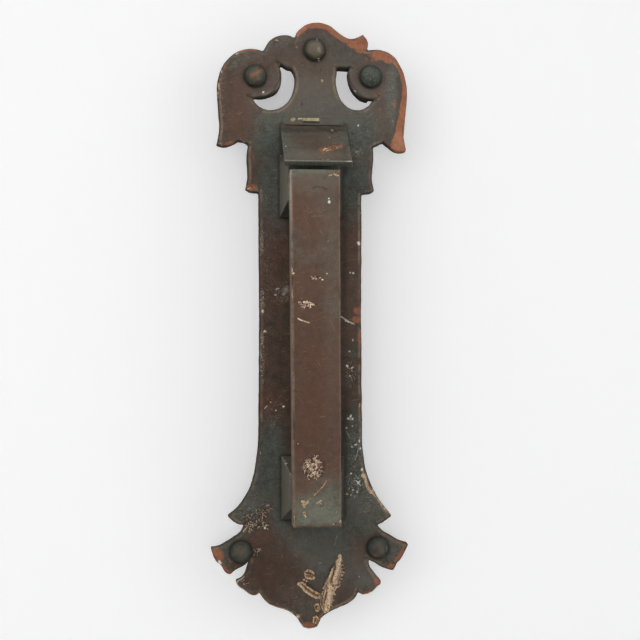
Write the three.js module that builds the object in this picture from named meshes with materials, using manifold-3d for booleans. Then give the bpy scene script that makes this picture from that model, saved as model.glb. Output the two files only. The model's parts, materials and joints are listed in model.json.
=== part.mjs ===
// Hand-made door knocker: a thick sawn back plate with a lobed cresting and a
// flared, winged foot, a sloping hood over the hinge, and a plain rectangular
// striker arm that hangs from a hidden knuckle and falls on a raised strike
// block.
//
// Millimetres. +Z is up, X runs across the plate and the front faces -Y. The
// back of the plate lies on Y = 0, and the origin is the centre of the waist
// on that back face.

import * as THREE from 'three';
import { mergeVertices } from 'three/addons/utils/BufferGeometryUtils.js';
import Module from 'manifold-3d';

const wasm = await Module();
wasm.setup();

// ---------------------------------------------------------------- dimensions

const PLATE_THICKNESS = 6.0;
const PLATE_FRONT = -PLATE_THICKNESS;

// gap between the plate and each part that sits on its front
const SEAT_GAP = 0.1;

// raised blocks: truncated pyramids on a square foot, placed by their centres
const BLOCK_BASE = 36.2;
const BLOCK_HEIGHT = 18.0;
const BLOCK_FACE_WIDTH = 29.2;
const BLOCK_FACE_HEIGHT = 20.2;
const BLOCK_FRONT = PLATE_FRONT - BLOCK_HEIGHT;
const HINGE_BLOCK = { x: 0.4, z: 78.9 };
const STRIKE_BLOCK = { x: 1.5, z: -92.3 };

// hinge: a knuckle with a round eye, and the pin through it
const PIVOT = { y: -29.6, z: 77.8 };
const PIN_RADIUS = 2.5;
const PIN_BORE_RADIUS = PIN_RADIUS + 0.15;
const PIN_LENGTH = 26.6;
const KNUCKLE_WIDTH = 9.4;
const KNUCKLE_RADIUS = 4.6;
const KNUCKLE_BACK = -0.3;

// slot round the knuckle, through the plate and hinge block and in the arm
const KNUCKLE_GAP = 0.3;
const SLOT_HALF_WIDTH = KNUCKLE_WIDTH / 2 + KNUCKLE_GAP;
const SLOT_RADIUS = KNUCKLE_RADIUS + KNUCKLE_GAP;

// striker arm
const ARM_GAP = 0.3;
const ARM_THICKNESS = 12.4;
const ARM_BACK = BLOCK_FRONT - ARM_GAP;
const ARM_FRONT = ARM_BACK - ARM_THICKNESS;
const ARM_TOP = { left: -13.6, right: 13.6, z: 85.3 };
const ARM_BOTTOM = { left: -11.9, right: 14.4, z: -109.9 };
const ARM_EDGE_ROUND = 1.1;
const ARM_HEEL_RADIUS = 5.2;
const ARM_NOSE_RADIUS = 1.5;

// hood
const HOOD = { left: -17.0, right: 20.4 };
const HOOD_THICKNESS = 3.6;
const HOOD_FRONT_TOP = { y: -36.7, z: 89.2 };
const HOOD_BACK_TOP_Z = 114.4;
const SEAM_INSET = 1.2;

// dome-headed nails; the reach is the length of shank behind the plate
const NAIL_HEAD_RADIUS = 6.3;
const NAIL_HEAD_HEIGHT = 4.9;
const NAIL_RIM_HEIGHT = 0.5;
const NAIL_UNDERSIDE = -SEAT_GAP - 0.05;
const NAIL_SHANK_RADIUS = 2.4;
const NAIL_HOLE_RADIUS = NAIL_SHANK_RADIUS + 0.5;
const NAIL_REACH = 26.0;
const NAIL_TAPER = 9.0;
const NAILS = [
  { name: 'dome_nail_top_centre', x: 2.3, z: 156.6 },
  { name: 'dome_nail_top_left', x: -31.3, z: 141.0 },
  { name: 'dome_nail_top_right', x: 34.6, z: 141.9 },
  { name: 'dome_nail_bottom_left', x: -39.4, z: -128.0 },
  { name: 'dome_nail_bottom_right', x: 38.7, z: -127.0 },
];

// countersunk rivets that hold the blocks from behind
const RIVET_RADIUS = 2.5;
const RIVET_GAP = 0.3;
const RIVET_HOLE_RADIUS = RIVET_RADIUS + RIVET_GAP;
const RIVET_HEAD_RADIUS = 4.6;
const RIVET_HEAD_DEPTH = 2.2;
const RIVET_HEAD_BACK = -0.2;
const RIVET_BITE = 9.0; // depth into the block
const RIVET_END_CHAMFER = 0.4;
const RIVETS = [
  rivetIn(HINGE_BLOCK, 'hinge_block_rivet_left', -11.0, -4.0),
  rivetIn(HINGE_BLOCK, 'hinge_block_rivet_right', 11.0, -4.0),
  rivetIn(STRIKE_BLOCK, 'strike_block_rivet_upper', -6.5, 5.0),
  rivetIn(STRIKE_BLOCK, 'strike_block_rivet_lower', 6.5, -5.0),
];

// Each rivet is placed to the right of and above its block's centre.
function rivetIn(block, name, right, up) {
  return { name, block, x: block.x + right, z: block.z + up };
}

// smoothing of the sawn outlines: points per span, and the span length above
// which an edge stays straight
const CURVE_STEPS = 2;
const STRAIGHT_SPAN = 20;

const HOLE_SEGMENTS = 16;

// ------------------------------------------------------------------ outlines

// Knots as [x, z], a third value of 1 marking a sharp corner. Between corners
// the edge is a smooth curve through the knots.

const PLATE_OUTLINE = [
  [-53.3, 101.8, 1], [-49.5, 101.0], [-45.1, 102.0], [-41.0, 104.2, 1], [-38.1, 103.8], [-35.3, 102.3, 1],
  [-36.1, 96.9], [-35.6, 88.1], [-35.5, 83.8], [-36.9, 76.9, 1], [-34.7, 75.6], [-31.7, 75.1],
  [-29.3, 75.3, 1], [-29.2, 65.7], [-28.8, 2.9], [-29.2, -60.0], [-29.2, -65.2], [-30.4, -75.6],
  [-31.6, -83.4], [-34.0, -92.2], [-38.9, -100.6], [-43.1, -105.2], [-46.7, -108.0, 1], [-43.3, -111.1],
  [-40.0, -112.8], [-37.4, -112.8, 1], [-39.1, -116.9], [-43.8, -120.5], [-48.4, -123.5],
  [-51.7, -125.1], [-56.3, -125.6, 1], [-55.5, -128.4], [-52.8, -133.7], [-50.1, -136.0],
  [-49.2, -138.0], [-47.0, -140.4], [-45.1, -140.8, 1], [-43.0, -138.8], [-39.4, -136.8],
  [-36.1, -134.1], [-34.4, -132.4, 1], [-34.8, -135.4], [-36.7, -139.7], [-38.5, -142.9],
  [-42.2, -144.7, 1], [-40.6, -147.7], [-37.6, -149.7], [-34.5, -152.2], [-30.9, -152.9],
  [-28.8, -151.5, 1], [-26.5, -154.9], [-23.0, -158.2], [-18.1, -160.3], [-13.0, -162.1],
  [-9.4, -164.4], [-6.7, -167.3], [-4.6, -171.0], [-3.5, -171.9], [2.4, -172.1], [3.9, -171.4],
  [5.9, -167.1], [8.3, -164.8], [12.8, -162.4], [18.8, -160.0], [23.5, -157.4], [26.4, -154.4],
  [27.1, -151.9, 1], [30.1, -153.5], [33.2, -153.2], [36.2, -151.3], [39.9, -147.4, 1],
  [37.4, -142.8], [34.1, -137.7], [32.8, -133.3, 1], [36.7, -135.4], [41.7, -138.3],
  [47.4, -140.1, 1], [48.8, -138.0], [49.5, -135.8], [51.3, -134.4], [53.4, -131.1],
  [56.3, -125.4, 1], [53.6, -124.7], [48.3, -122.3], [42.9, -118.9], [37.7, -114.1, 1],
  [41.5, -112.7], [46.5, -109.2, 1], [42.4, -103.7], [38.2, -97.6], [34.5, -90.5], [31.9, -82.7],
  [30.4, -74.0], [29.7, -65.2], [29.3, 2.8], [29.4, 65.9], [29.5, 74.8, 1], [32.1, 75.1],
  [35.5, 75.8], [36.8, 76.9, 1], [36.3, 79.3], [35.3, 83.8], [35.6, 87.4], [36.3, 94.6],
  [36.0, 101.9, 1], [40.0, 103.5], [42.2, 103.7, 1], [44.9, 102.6], [48.7, 99.6], [53.2, 99.1],
  [55.0, 99.6], [54.9, 102.6], [53.9, 107.9], [54.3, 114.2], [55.1, 121.0], [55.9, 129.9],
  [55.7, 137.0], [54.3, 144.0], [51.8, 149.2], [48.9, 153.4], [45.3, 156.1], [40.8, 157.6],
  [36.5, 157.8], [32.6, 157.3, 1], [33.1, 159.2], [33.2, 161.8], [32.0, 164.3], [30.3, 166.4, 1],
  [27.1, 164.5], [24.1, 163.6], [19.7, 164.6], [15.4, 167.8], [11.8, 170.6], [8.1, 172.0],
  [3.9, 172.6], [-1.5, 171.6], [-5.1, 169.4], [-8.0, 166.2], [-8.8, 163.5, 1], [-11.4, 164.6],
  [-15.4, 165.0], [-19.7, 163.8], [-23.4, 161.2], [-25.7, 157.6], [-26.7, 155.4, 1],
  [-30.2, 156.5], [-34.4, 156.8], [-38.8, 155.9], [-43.2, 153.8], [-47.2, 150.2], [-50.5, 145.2],
  [-52.3, 139.9], [-52.9, 135.8], [-52.6, 125.3], [-51.6, 114.0], [-51.7, 109.7],
];

const LEFT_CRESCENT = [
  [-17.8, 146.8, 1], [-15.6, 147.4, 1], [-12.3, 147.1], [-9.3, 143.1], [-8.7, 137.8], [-9.8, 132.4],
  [-12.6, 127.1], [-16.4, 123.7], [-21.5, 122.0], [-26.8, 122.7], [-31.1, 125.6], [-33.2, 128.6, 1],
  [-30.0, 129.1], [-25.4, 129.3], [-20.7, 131.8], [-17.3, 135.6], [-16.5, 139.7], [-16.8, 144.5],
];

const RIGHT_CRESCENT = [
  [15.5, 147.0, 1], [23.2, 146.9, 1], [21.9, 145.4], [21.7, 140.8], [23.7, 134.9], [27.0, 131.2],
  [32.5, 129.1], [38.4, 129.7, 1], [34.5, 126.3], [30.0, 123.2], [26.0, 123.0], [21.5, 124.6],
  [17.7, 128.3], [15.4, 134.4], [14.6, 140.6], [15.1, 143.1],
];

// ---------------------------------------------------------------- flat shapes

function point(x, y) {
  return new THREE.Vector2(x, y);
}

function rectangle(x0, x1, y0, y1) {
  return [point(x0, y0), point(x1, y0), point(x1, y1), point(x0, y1)];
}

// Arc about a centre, both ends included. Angles are in radians.
function arc(radius, start, sweep, steps, centre = point(0, 0)) {
  const out = [];
  for (let i = 0; i <= steps; i++) {
    const angle = start + (sweep * i) / steps;
    out.push(point(centre.x + radius * Math.cos(angle), centre.y + radius * Math.sin(angle)));
  }
  return out;
}

function circle(x, y, radius) {
  return arc(radius, 0, 2 * Math.PI, HOLE_SEGMENTS, point(x, y)).slice(0, -1);
}

// Slope of the curve at a knot, weighted by the distances to its neighbours.
function tangentAt(before, knot, after) {
  const lengthIn = knot.distanceTo(before) + 1e-6;
  const lengthOut = after.distanceTo(knot) + 1e-6;
  return knot.clone().sub(before).multiplyScalar(lengthOut / lengthIn)
    .add(after.clone().sub(knot).multiplyScalar(lengthIn / lengthOut))
    .divideScalar(lengthIn + lengthOut);
}

// Smooth closed curve through the knots, broken at the corners. At a corner,
// the span's other end is mirrored to stand in for the neighbour beyond.
function curveThrough(knots) {
  const points = knots.map(([x, y]) => point(x, y));
  const isCorner = knots.map((knot) => knot[2] === 1);
  const count = points.length;
  const mirrored = (end, about) => about.clone().multiplyScalar(2).sub(end);
  const out = [];
  for (let i = 0; i < count; i++) {
    const next = (i + 1) % count;
    const start = points[i];
    const end = points[next];
    const before = isCorner[i] ? mirrored(end, start) : points[(i - 1 + count) % count];
    const after = isCorner[next] ? mirrored(start, end) : points[(i + 2) % count];
    const length = start.distanceTo(end);
    const startTangent = tangentAt(before, start, end).multiplyScalar(length);
    const endTangent = tangentAt(start, end, after).multiplyScalar(length);
    const steps = length > STRAIGHT_SPAN ? 1 : CURVE_STEPS;
    for (let k = 0; k < steps; k++) {
      // cubic Hermite weights
      const t = k / steps;
      out.push(start.clone().multiplyScalar(2 * t ** 3 - 3 * t ** 2 + 1)
        .addScaledVector(startTangent, t ** 3 - 2 * t ** 2 + t)
        .addScaledVector(end, -2 * t ** 3 + 3 * t ** 2)
        .addScaledVector(endTangent, t ** 3 - t ** 2));
    }
  }
  return out;
}

// -------------------------------------------------------------------- solids

// Manifold solid from a closed geometry.
function solid(geometry) {
  geometry.deleteAttribute('normal');
  geometry.deleteAttribute('uv');
  const merged = mergeVertices(geometry, 1e-4);
  return new wasm.Manifold(new wasm.Mesh({
    numProp: 3,
    vertProperties: Float32Array.from(merged.attributes.position.array),
    triVerts: Uint32Array.from(merged.index.array),
  }));
}

function geometryOf(body) {
  const mesh = body.getMesh();
  const positions = Float32Array.from(mesh.vertProperties);
  const geometry = new THREE.BufferGeometry();
  geometry.setAttribute('position', new THREE.BufferAttribute(positions, 3));
  geometry.setIndex(new THREE.BufferAttribute(Uint32Array.from(mesh.triVerts), 1));
  geometry.computeVertexNormals();
  return geometry;
}

// Prism along X: shape drawn in (y, z), running from x0 to x1.
function prismX(points, x0, x1) {
  const geometry = new THREE.ExtrudeGeometry(new THREE.Shape(points), {
    depth: x1 - x0,
    bevelEnabled: false,
  });
  geometry.applyMatrix4(new THREE.Matrix4().set(
    0, 0, 1, 0,
    1, 0, 0, 0,
    0, 1, 0, 0,
    0, 0, 0, 1,
  ));
  geometry.translate(x0, 0, 0);
  return geometry;
}

// Rod along X, centred on the origin.
function rodX(radius, length) {
  const geometry = new THREE.CylinderGeometry(radius, radius, length, 32);
  geometry.rotateZ(Math.PI / 2);
  return geometry;
}

// Cone or rod along Y between its back and front ends, to cut a round hole.
function holeY({ backRadius, frontRadius, back, front, x, z }) {
  const geometry = new THREE.CylinderGeometry(
    backRadius, frontRadius, back - front, HOLE_SEGMENTS);
  geometry.translate(x, (back + front) / 2, z);
  return geometry;
}

// ----------------------------------------------------------------- materials

function metal(color, { roughness, metalness }) {
  return new THREE.MeshStandardMaterial({ color, roughness, metalness });
}

const brownPatina = metal(0x45332a, { roughness: 0.55, metalness: 0.75 });
const armPatina = metal(0x51392e, { roughness: 0.5, metalness: 0.75 });
const greenBrownPatina = metal(0x43423a, { roughness: 0.6, metalness: 0.6 });
const domePatina = metal(0x3c3f37, { roughness: 0.6, metalness: 0.6 });
const brazeBrass = metal(0xb08c58, { roughness: 0.45, metalness: 0.9 });
const rivetCopper = metal(0x6e4430, { roughness: 0.45, metalness: 0.85 });
const pinSteel = metal(0x4a4a48, { roughness: 0.5, metalness: 0.85 });

// ---------------------------------------------------------------- back plate

function backPlate() {
  const knuckleHole = rectangle(
    -SLOT_HALF_WIDTH, SLOT_HALF_WIDTH, PIVOT.z - SLOT_RADIUS, PIVOT.z + SLOT_RADIUS);
  const holes = [
    curveThrough(LEFT_CRESCENT),
    curveThrough(RIGHT_CRESCENT),
    ...NAILS.map((nail) => circle(nail.x, nail.z, NAIL_HOLE_RADIUS)),
    ...RIVETS.map((rivet) => circle(rivet.x, rivet.z, RIVET_HOLE_RADIUS)),
    knuckleHole,
  ];
  const shape = new THREE.Shape(curveThrough(PLATE_OUTLINE));
  shape.holes = holes.map((hole) => new THREE.Path(hole));
  const slab = new THREE.ExtrudeGeometry(shape, { depth: PLATE_THICKNESS, bevelEnabled: false });
  slab.rotateX(Math.PI / 2);

  let body = solid(slab);
  const overrun = 1.0;
  for (const { x, z } of RIVETS) {
    // countersink in the back face
    body = body.subtract(solid(holeY({
      backRadius: RIVET_HEAD_RADIUS + RIVET_GAP + overrun,
      frontRadius: RIVET_HOLE_RADIUS,
      back: overrun,
      front: -RIVET_HEAD_DEPTH - RIVET_GAP,
      x,
      z,
    })));
  }
  return geometryOf(body);
}

// -------------------------------------------------------------------- blocks

// Truncated pyramid with its foot on the plate and its face to the front, in
// its own coordinates with the foot centred on the origin.
function pyramid() {
  const foot = BLOCK_BASE / 2;
  const width = BLOCK_FACE_WIDTH / 2;
  const height = BLOCK_FACE_HEIGHT / 2;
  const back = -SEAT_GAP;
  const front = -BLOCK_HEIGHT;
  const corners = [
    [-foot, back, -foot], [foot, back, -foot], [foot, back, foot], [-foot, back, foot],
    [-width, front, -height], [width, front, -height],
    [width, front, height], [-width, front, height],
  ];
  const triangles = [
    [2, 1, 0], [3, 2, 0], // foot
    [5, 6, 4], [6, 7, 4], // face
    [1, 5, 0], [5, 4, 0], // bottom
    [2, 6, 1], [6, 5, 1], // right
    [3, 7, 2], [7, 6, 2], // top
    [0, 4, 3], [4, 7, 3], // left
  ];
  const geometry = new THREE.BufferGeometry();
  geometry.setAttribute('position', new THREE.Float32BufferAttribute(corners.flat(), 3));
  geometry.setIndex(triangles.flat());
  return geometry;
}

function blockBody(block) {
  let body = solid(pyramid());
  for (const rivet of RIVETS.filter((each) => each.block === block)) {
    body = body.subtract(solid(holeY({
      backRadius: RIVET_HOLE_RADIUS,
      frontRadius: RIVET_HOLE_RADIUS,
      back: 1.0,
      front: -RIVET_BITE - 0.6,
      x: rivet.x - block.x,
      z: rivet.z - block.z,
    })));
  }
  return body;
}

// Slot for the knuckle, right through the hinge block.
function hingeBlockSlot() {
  const overrun = 2;
  const level = PIVOT.z - HINGE_BLOCK.z;
  const profile = rectangle(
    overrun, -BLOCK_HEIGHT - overrun, level - SLOT_RADIUS, level + SLOT_RADIUS);
  return solid(prismX(
    profile, -SLOT_HALF_WIDTH - HINGE_BLOCK.x, SLOT_HALF_WIDTH - HINGE_BLOCK.x));
}

// --------------------------------------------------------------------- hinge

// A bar that runs through the plate and the hinge block and ends in a round
// eye inside the arm. Drawn in (y, z) about the pivot.
function hingeKnuckle() {
  const back = KNUCKLE_BACK - PIVOT.y;
  const profile = [
    point(back, -KNUCKLE_RADIUS),
    point(back, KNUCKLE_RADIUS),
    ...arc(KNUCKLE_RADIUS, Math.PI / 2, Math.PI, 12),
  ];
  return geometryOf(solid(prismX(profile, -KNUCKLE_WIDTH / 2, KNUCKLE_WIDTH / 2))
    .subtract(solid(rodX(PIN_BORE_RADIUS, KNUCKLE_WIDTH + 4))));
}

// --------------------------------------------------------------- striker arm

// The arm is drawn about the pivot.
const ARM = {
  front: ARM_FRONT - PIVOT.y,
  back: ARM_BACK - PIVOT.y,
  top: ARM_TOP.z - PIVOT.z,
  bottom: ARM_BOTTOM.z - PIVOT.z,
};

// Tapered bar with rounded arrises, run on past the top for trimming.
function armSlab() {
  const round = ARM_EDGE_ROUND;
  const height = ARM_TOP.z - ARM_BOTTOM.z;
  const leftLean = (ARM_TOP.left - ARM_BOTTOM.left) / height;
  const rightLean = (ARM_TOP.right - ARM_BOTTOM.right) / height;
  const overrun = 6.0;
  // the bevel puts back the width taken off here
  const face = new THREE.Shape([
    point(ARM_BOTTOM.left + round, ARM.bottom + round),
    point(ARM_BOTTOM.right - round, ARM.bottom + round),
    point(ARM_TOP.right + rightLean * overrun - round, ARM.top + overrun),
    point(ARM_TOP.left + leftLean * overrun + round, ARM.top + overrun),
  ]);
  const slab = new THREE.ExtrudeGeometry(face, {
    depth: ARM_THICKNESS - 2 * round,
    bevelEnabled: true,
    bevelThickness: round,
    bevelSize: round,
    bevelSegments: 3,
  });
  slab.rotateX(Math.PI / 2);
  slab.translate(0, ARM.back - round, 0);
  return slab;
}

// Side outline in (y, z): the heel is rounded about the pin and the top slopes
// up to the front, so the arm clears the block as it swings. Elsewhere the
// outline stands clear of the slab.
function armSide() {
  const { front, back, top, bottom } = ARM;
  const overrun = 2;

  // the slope is the tangent from the top front corner to the heel; its
  // normal stands at this angle from +Y
  const normalAngle = Math.atan2(-front, top)
    + Math.asin(ARM_HEEL_RADIUS / Math.hypot(front, top));
  const normal = point(Math.cos(normalAngle), Math.sin(normalAngle));
  const upSlope = point(-normal.y, normal.x);

  // rounded nose between the sloping top and the front face
  const turn = Math.PI - normalAngle;
  const noseCentre = point(front, top)
    .addScaledVector(upSlope, -ARM_NOSE_RADIUS * Math.tan(turn / 2))
    .addScaledVector(normal, -ARM_NOSE_RADIUS);

  return [
    point(front - overrun, bottom - overrun),
    point(back + overrun, bottom - overrun),
    point(back + overrun, -3.0),
    point(back, -2.0),
    ...arc(ARM_HEEL_RADIUS, 0, normalAngle, 8),
    ...arc(ARM_NOSE_RADIUS, normalAngle, turn, 5, noseCentre),
    point(front, noseCentre.y - 0.5),
    point(front - overrun, noseCentre.y - 1.5),
  ];
}

// Slot for the knuckle in (y, z), open to the back and to the top.
function armSlot() {
  const beyondBack = ARM.back + 4;
  const beyondTop = 20;
  return [
    point(beyondBack, -SLOT_RADIUS),
    point(beyondBack, beyondTop),
    point(-SLOT_RADIUS, beyondTop),
    ...arc(SLOT_RADIUS, Math.PI, Math.PI / 2, 8),
  ];
}

function strikerArm() {
  const toolHalfWidth = 30; // wider than the arm
  return geometryOf(solid(armSlab())
    .intersect(solid(prismX(armSide(), -toolHalfWidth, toolHalfWidth)))
    .subtract(solid(prismX(armSlot(), -SLOT_HALF_WIDTH, SLOT_HALF_WIDTH)))
    .subtract(solid(rodX(PIN_BORE_RADIUS, 2 * toolHalfWidth))));
}

// ---------------------------------------------------------------------- hood

const HOOD_SLOPE = (HOOD_BACK_TOP_Z - HOOD_FRONT_TOP.z) / (PLATE_FRONT - HOOD_FRONT_TOP.y);
const HOOD_BACK = PLATE_FRONT - SEAT_GAP;

// Height at the back of a line that rises at the hood's slope from (y, z).
function heightAtHoodBack({ y, z }) {
  return z + (HOOD_BACK - y) * HOOD_SLOPE;
}

// Sloping board with its two front arrises eased.
function hood() {
  const angle = Math.atan(HOOD_SLOPE);
  const cos = Math.cos(angle);
  const sin = Math.sin(angle);
  const top = HOOD_FRONT_TOP;
  const lip = { y: top.y + HOOD_THICKNESS * sin, z: top.z - HOOD_THICKNESS * cos };
  const topEase = 0.5;
  const lipEase = 0.4;
  return prismX([
    point(HOOD_BACK, heightAtHoodBack(top)),
    point(top.y + topEase * cos, top.z + topEase * sin),
    point(top.y + 0.15, top.z - 0.3),
    point(lip.y - 0.25, lip.z + 0.3),
    point(lip.y + lipEase * cos, lip.z + lipEase * sin),
    point(HOOD_BACK, heightAtHoodBack(lip)),
  ], HOOD.left, HOOD.right);
}

// Brazed seam in the angle between the plate and the top of the hood.
function hoodSeam() {
  const reach = 1.6;
  const lift = 0.25;
  // [y, z] from the top back edge of the hood
  const profile = [
    [0, 3.4],
    [-0.5, 3.2],
    [-1.2, 1.4],
    [-reach, 0.2 - reach * HOOD_SLOPE + lift],
    [0, lift],
  ];
  const edgeZ = heightAtHoodBack(HOOD_FRONT_TOP);
  return prismX(
    profile.map(([y, z]) => point(HOOD_BACK + y, edgeZ + z)),
    HOOD.left + SEAM_INSET,
    HOOD.right - SEAM_INSET,
  );
}

// ---------------------------------------------------------- nails and rivets

// Lathe profiles are (radius, y), from front to back so the faces point out.

// The nail's origin is on the front of the plate.
function domeNail() {
  const rim = NAIL_UNDERSIDE - NAIL_RIM_HEIGHT;
  const domeRise = NAIL_HEAD_HEIGHT - NAIL_RIM_HEIGHT;
  const tip = PLATE_THICKNESS + NAIL_REACH;
  const domeSteps = 6;
  const profile = [point(0, NAIL_UNDERSIDE - NAIL_HEAD_HEIGHT)];
  for (let i = domeSteps - 1; i >= 0; i--) {
    const angle = (Math.PI / 2) * (i / domeSteps);
    profile.push(point(NAIL_HEAD_RADIUS * Math.cos(angle), rim - domeRise * Math.sin(angle)));
  }
  profile.push(
    point(NAIL_HEAD_RADIUS - 0.2, NAIL_UNDERSIDE),
    point(NAIL_SHANK_RADIUS, NAIL_UNDERSIDE),
    point(NAIL_SHANK_RADIUS, tip - NAIL_TAPER),
    point(NAIL_SHANK_RADIUS * 0.55, tip - NAIL_TAPER / 2),
    point(0, tip),
  );
  return new THREE.LatheGeometry(profile, 20);
}

// The rivet's origin is on the back of the plate.
function blockRivet() {
  const end = PLATE_FRONT - RIVET_BITE;
  return new THREE.LatheGeometry([
    point(0, end),
    point(RIVET_RADIUS - RIVET_END_CHAMFER, end),
    point(RIVET_RADIUS, end + RIVET_END_CHAMFER),
    point(RIVET_RADIUS, RIVET_HEAD_BACK - RIVET_HEAD_DEPTH),
    point(RIVET_HEAD_RADIUS - 0.1, RIVET_HEAD_BACK),
    point(0, RIVET_HEAD_BACK),
  ], 16);
}

// ------------------------------------------------------------------ assembly

function addPiece(parent, name, geometry, material, position = [0, 0, 0]) {
  const mesh = new THREE.Mesh(geometry, material);
  mesh.name = name;
  mesh.position.set(...position);
  parent.add(mesh);
}

const knocker = new THREE.Group();
addPiece(knocker, 'back_plate', backPlate(), brownPatina);

const hingeBlock = geometryOf(blockBody(HINGE_BLOCK).subtract(hingeBlockSlot()));
addPiece(knocker, 'hinge_block', hingeBlock, greenBrownPatina,
  [HINGE_BLOCK.x, PLATE_FRONT, HINGE_BLOCK.z]);
addPiece(knocker, 'strike_block', geometryOf(blockBody(STRIKE_BLOCK)), greenBrownPatina,
  [STRIKE_BLOCK.x, PLATE_FRONT, STRIKE_BLOCK.z]);
addPiece(knocker, 'hinge_knuckle', hingeKnuckle(), rivetCopper, [0, PIVOT.y, PIVOT.z]);

// Everything in this group turns about the hinge pin, whose axis passes
// through the group's origin.
const swing = new THREE.Group();
swing.position.set(0, PIVOT.y, PIVOT.z);
knocker.add(swing);
addPiece(swing, 'striker_arm', strikerArm(), armPatina);
addPiece(swing, 'hinge_pin', rodX(PIN_RADIUS, PIN_LENGTH), pinSteel);

addPiece(knocker, 'hood', hood(), greenBrownPatina);
addPiece(knocker, 'hood_braze_seam', hoodSeam(), brazeBrass);

for (const { name, x, z } of NAILS) {
  addPiece(knocker, name, domeNail(), domePatina, [x, PLATE_FRONT, z]);
}
for (const { name, x, z } of RIVETS) {
  addPiece(knocker, name, blockRivet(), rivetCopper, [x, 0, z]);
}

export default knocker;
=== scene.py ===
import json
import math

import bmesh
import bpy
import numpy as np
from mathutils import Matrix, Vector, kdtree


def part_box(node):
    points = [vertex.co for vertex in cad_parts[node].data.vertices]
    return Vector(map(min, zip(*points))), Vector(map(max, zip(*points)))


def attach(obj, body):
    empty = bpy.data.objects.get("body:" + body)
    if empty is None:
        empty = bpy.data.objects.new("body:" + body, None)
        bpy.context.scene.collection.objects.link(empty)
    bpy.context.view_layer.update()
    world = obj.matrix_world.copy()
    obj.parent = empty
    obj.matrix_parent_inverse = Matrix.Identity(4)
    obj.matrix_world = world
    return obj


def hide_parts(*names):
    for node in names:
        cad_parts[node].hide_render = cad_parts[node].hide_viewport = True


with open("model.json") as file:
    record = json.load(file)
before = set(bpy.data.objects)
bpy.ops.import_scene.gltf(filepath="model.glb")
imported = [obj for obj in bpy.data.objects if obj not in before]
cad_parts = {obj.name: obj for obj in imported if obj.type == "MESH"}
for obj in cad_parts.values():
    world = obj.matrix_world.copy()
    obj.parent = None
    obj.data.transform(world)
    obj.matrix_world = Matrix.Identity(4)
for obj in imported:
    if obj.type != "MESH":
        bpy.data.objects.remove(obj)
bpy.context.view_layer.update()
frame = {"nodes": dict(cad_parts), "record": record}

# The looks of a hand-made bronze door knocker: a shaped back plate with pierced crescents, two seat blocks,
# a hooded hinge, a flat striker arm and dome-headed nails. Lengths in this script are millimetres unless they
# go straight into Blender, and every random choice comes from a fixed seed.
MM = 0.001
NODES = frame["nodes"]
BODY_OF = {n: b for b, ns in frame["record"]["behaviour"]["bodies"].items() for n in ns}


def box(node):
    lo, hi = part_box(node)
    return np.array(lo) / MM, np.array(hi) / MM


PLATE_LO, PLATE_HI = box("back_plate")
PLATE_FRONT = PLATE_LO[1]
ARM_LO, ARM_HI = box("striker_arm")
HOOD_LO, HOOD_HI = box("hood")
UPPER_LO, UPPER_HI = box("hinge_block")
LOWER_LO, LOWER_HI = box("strike_block")

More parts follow.
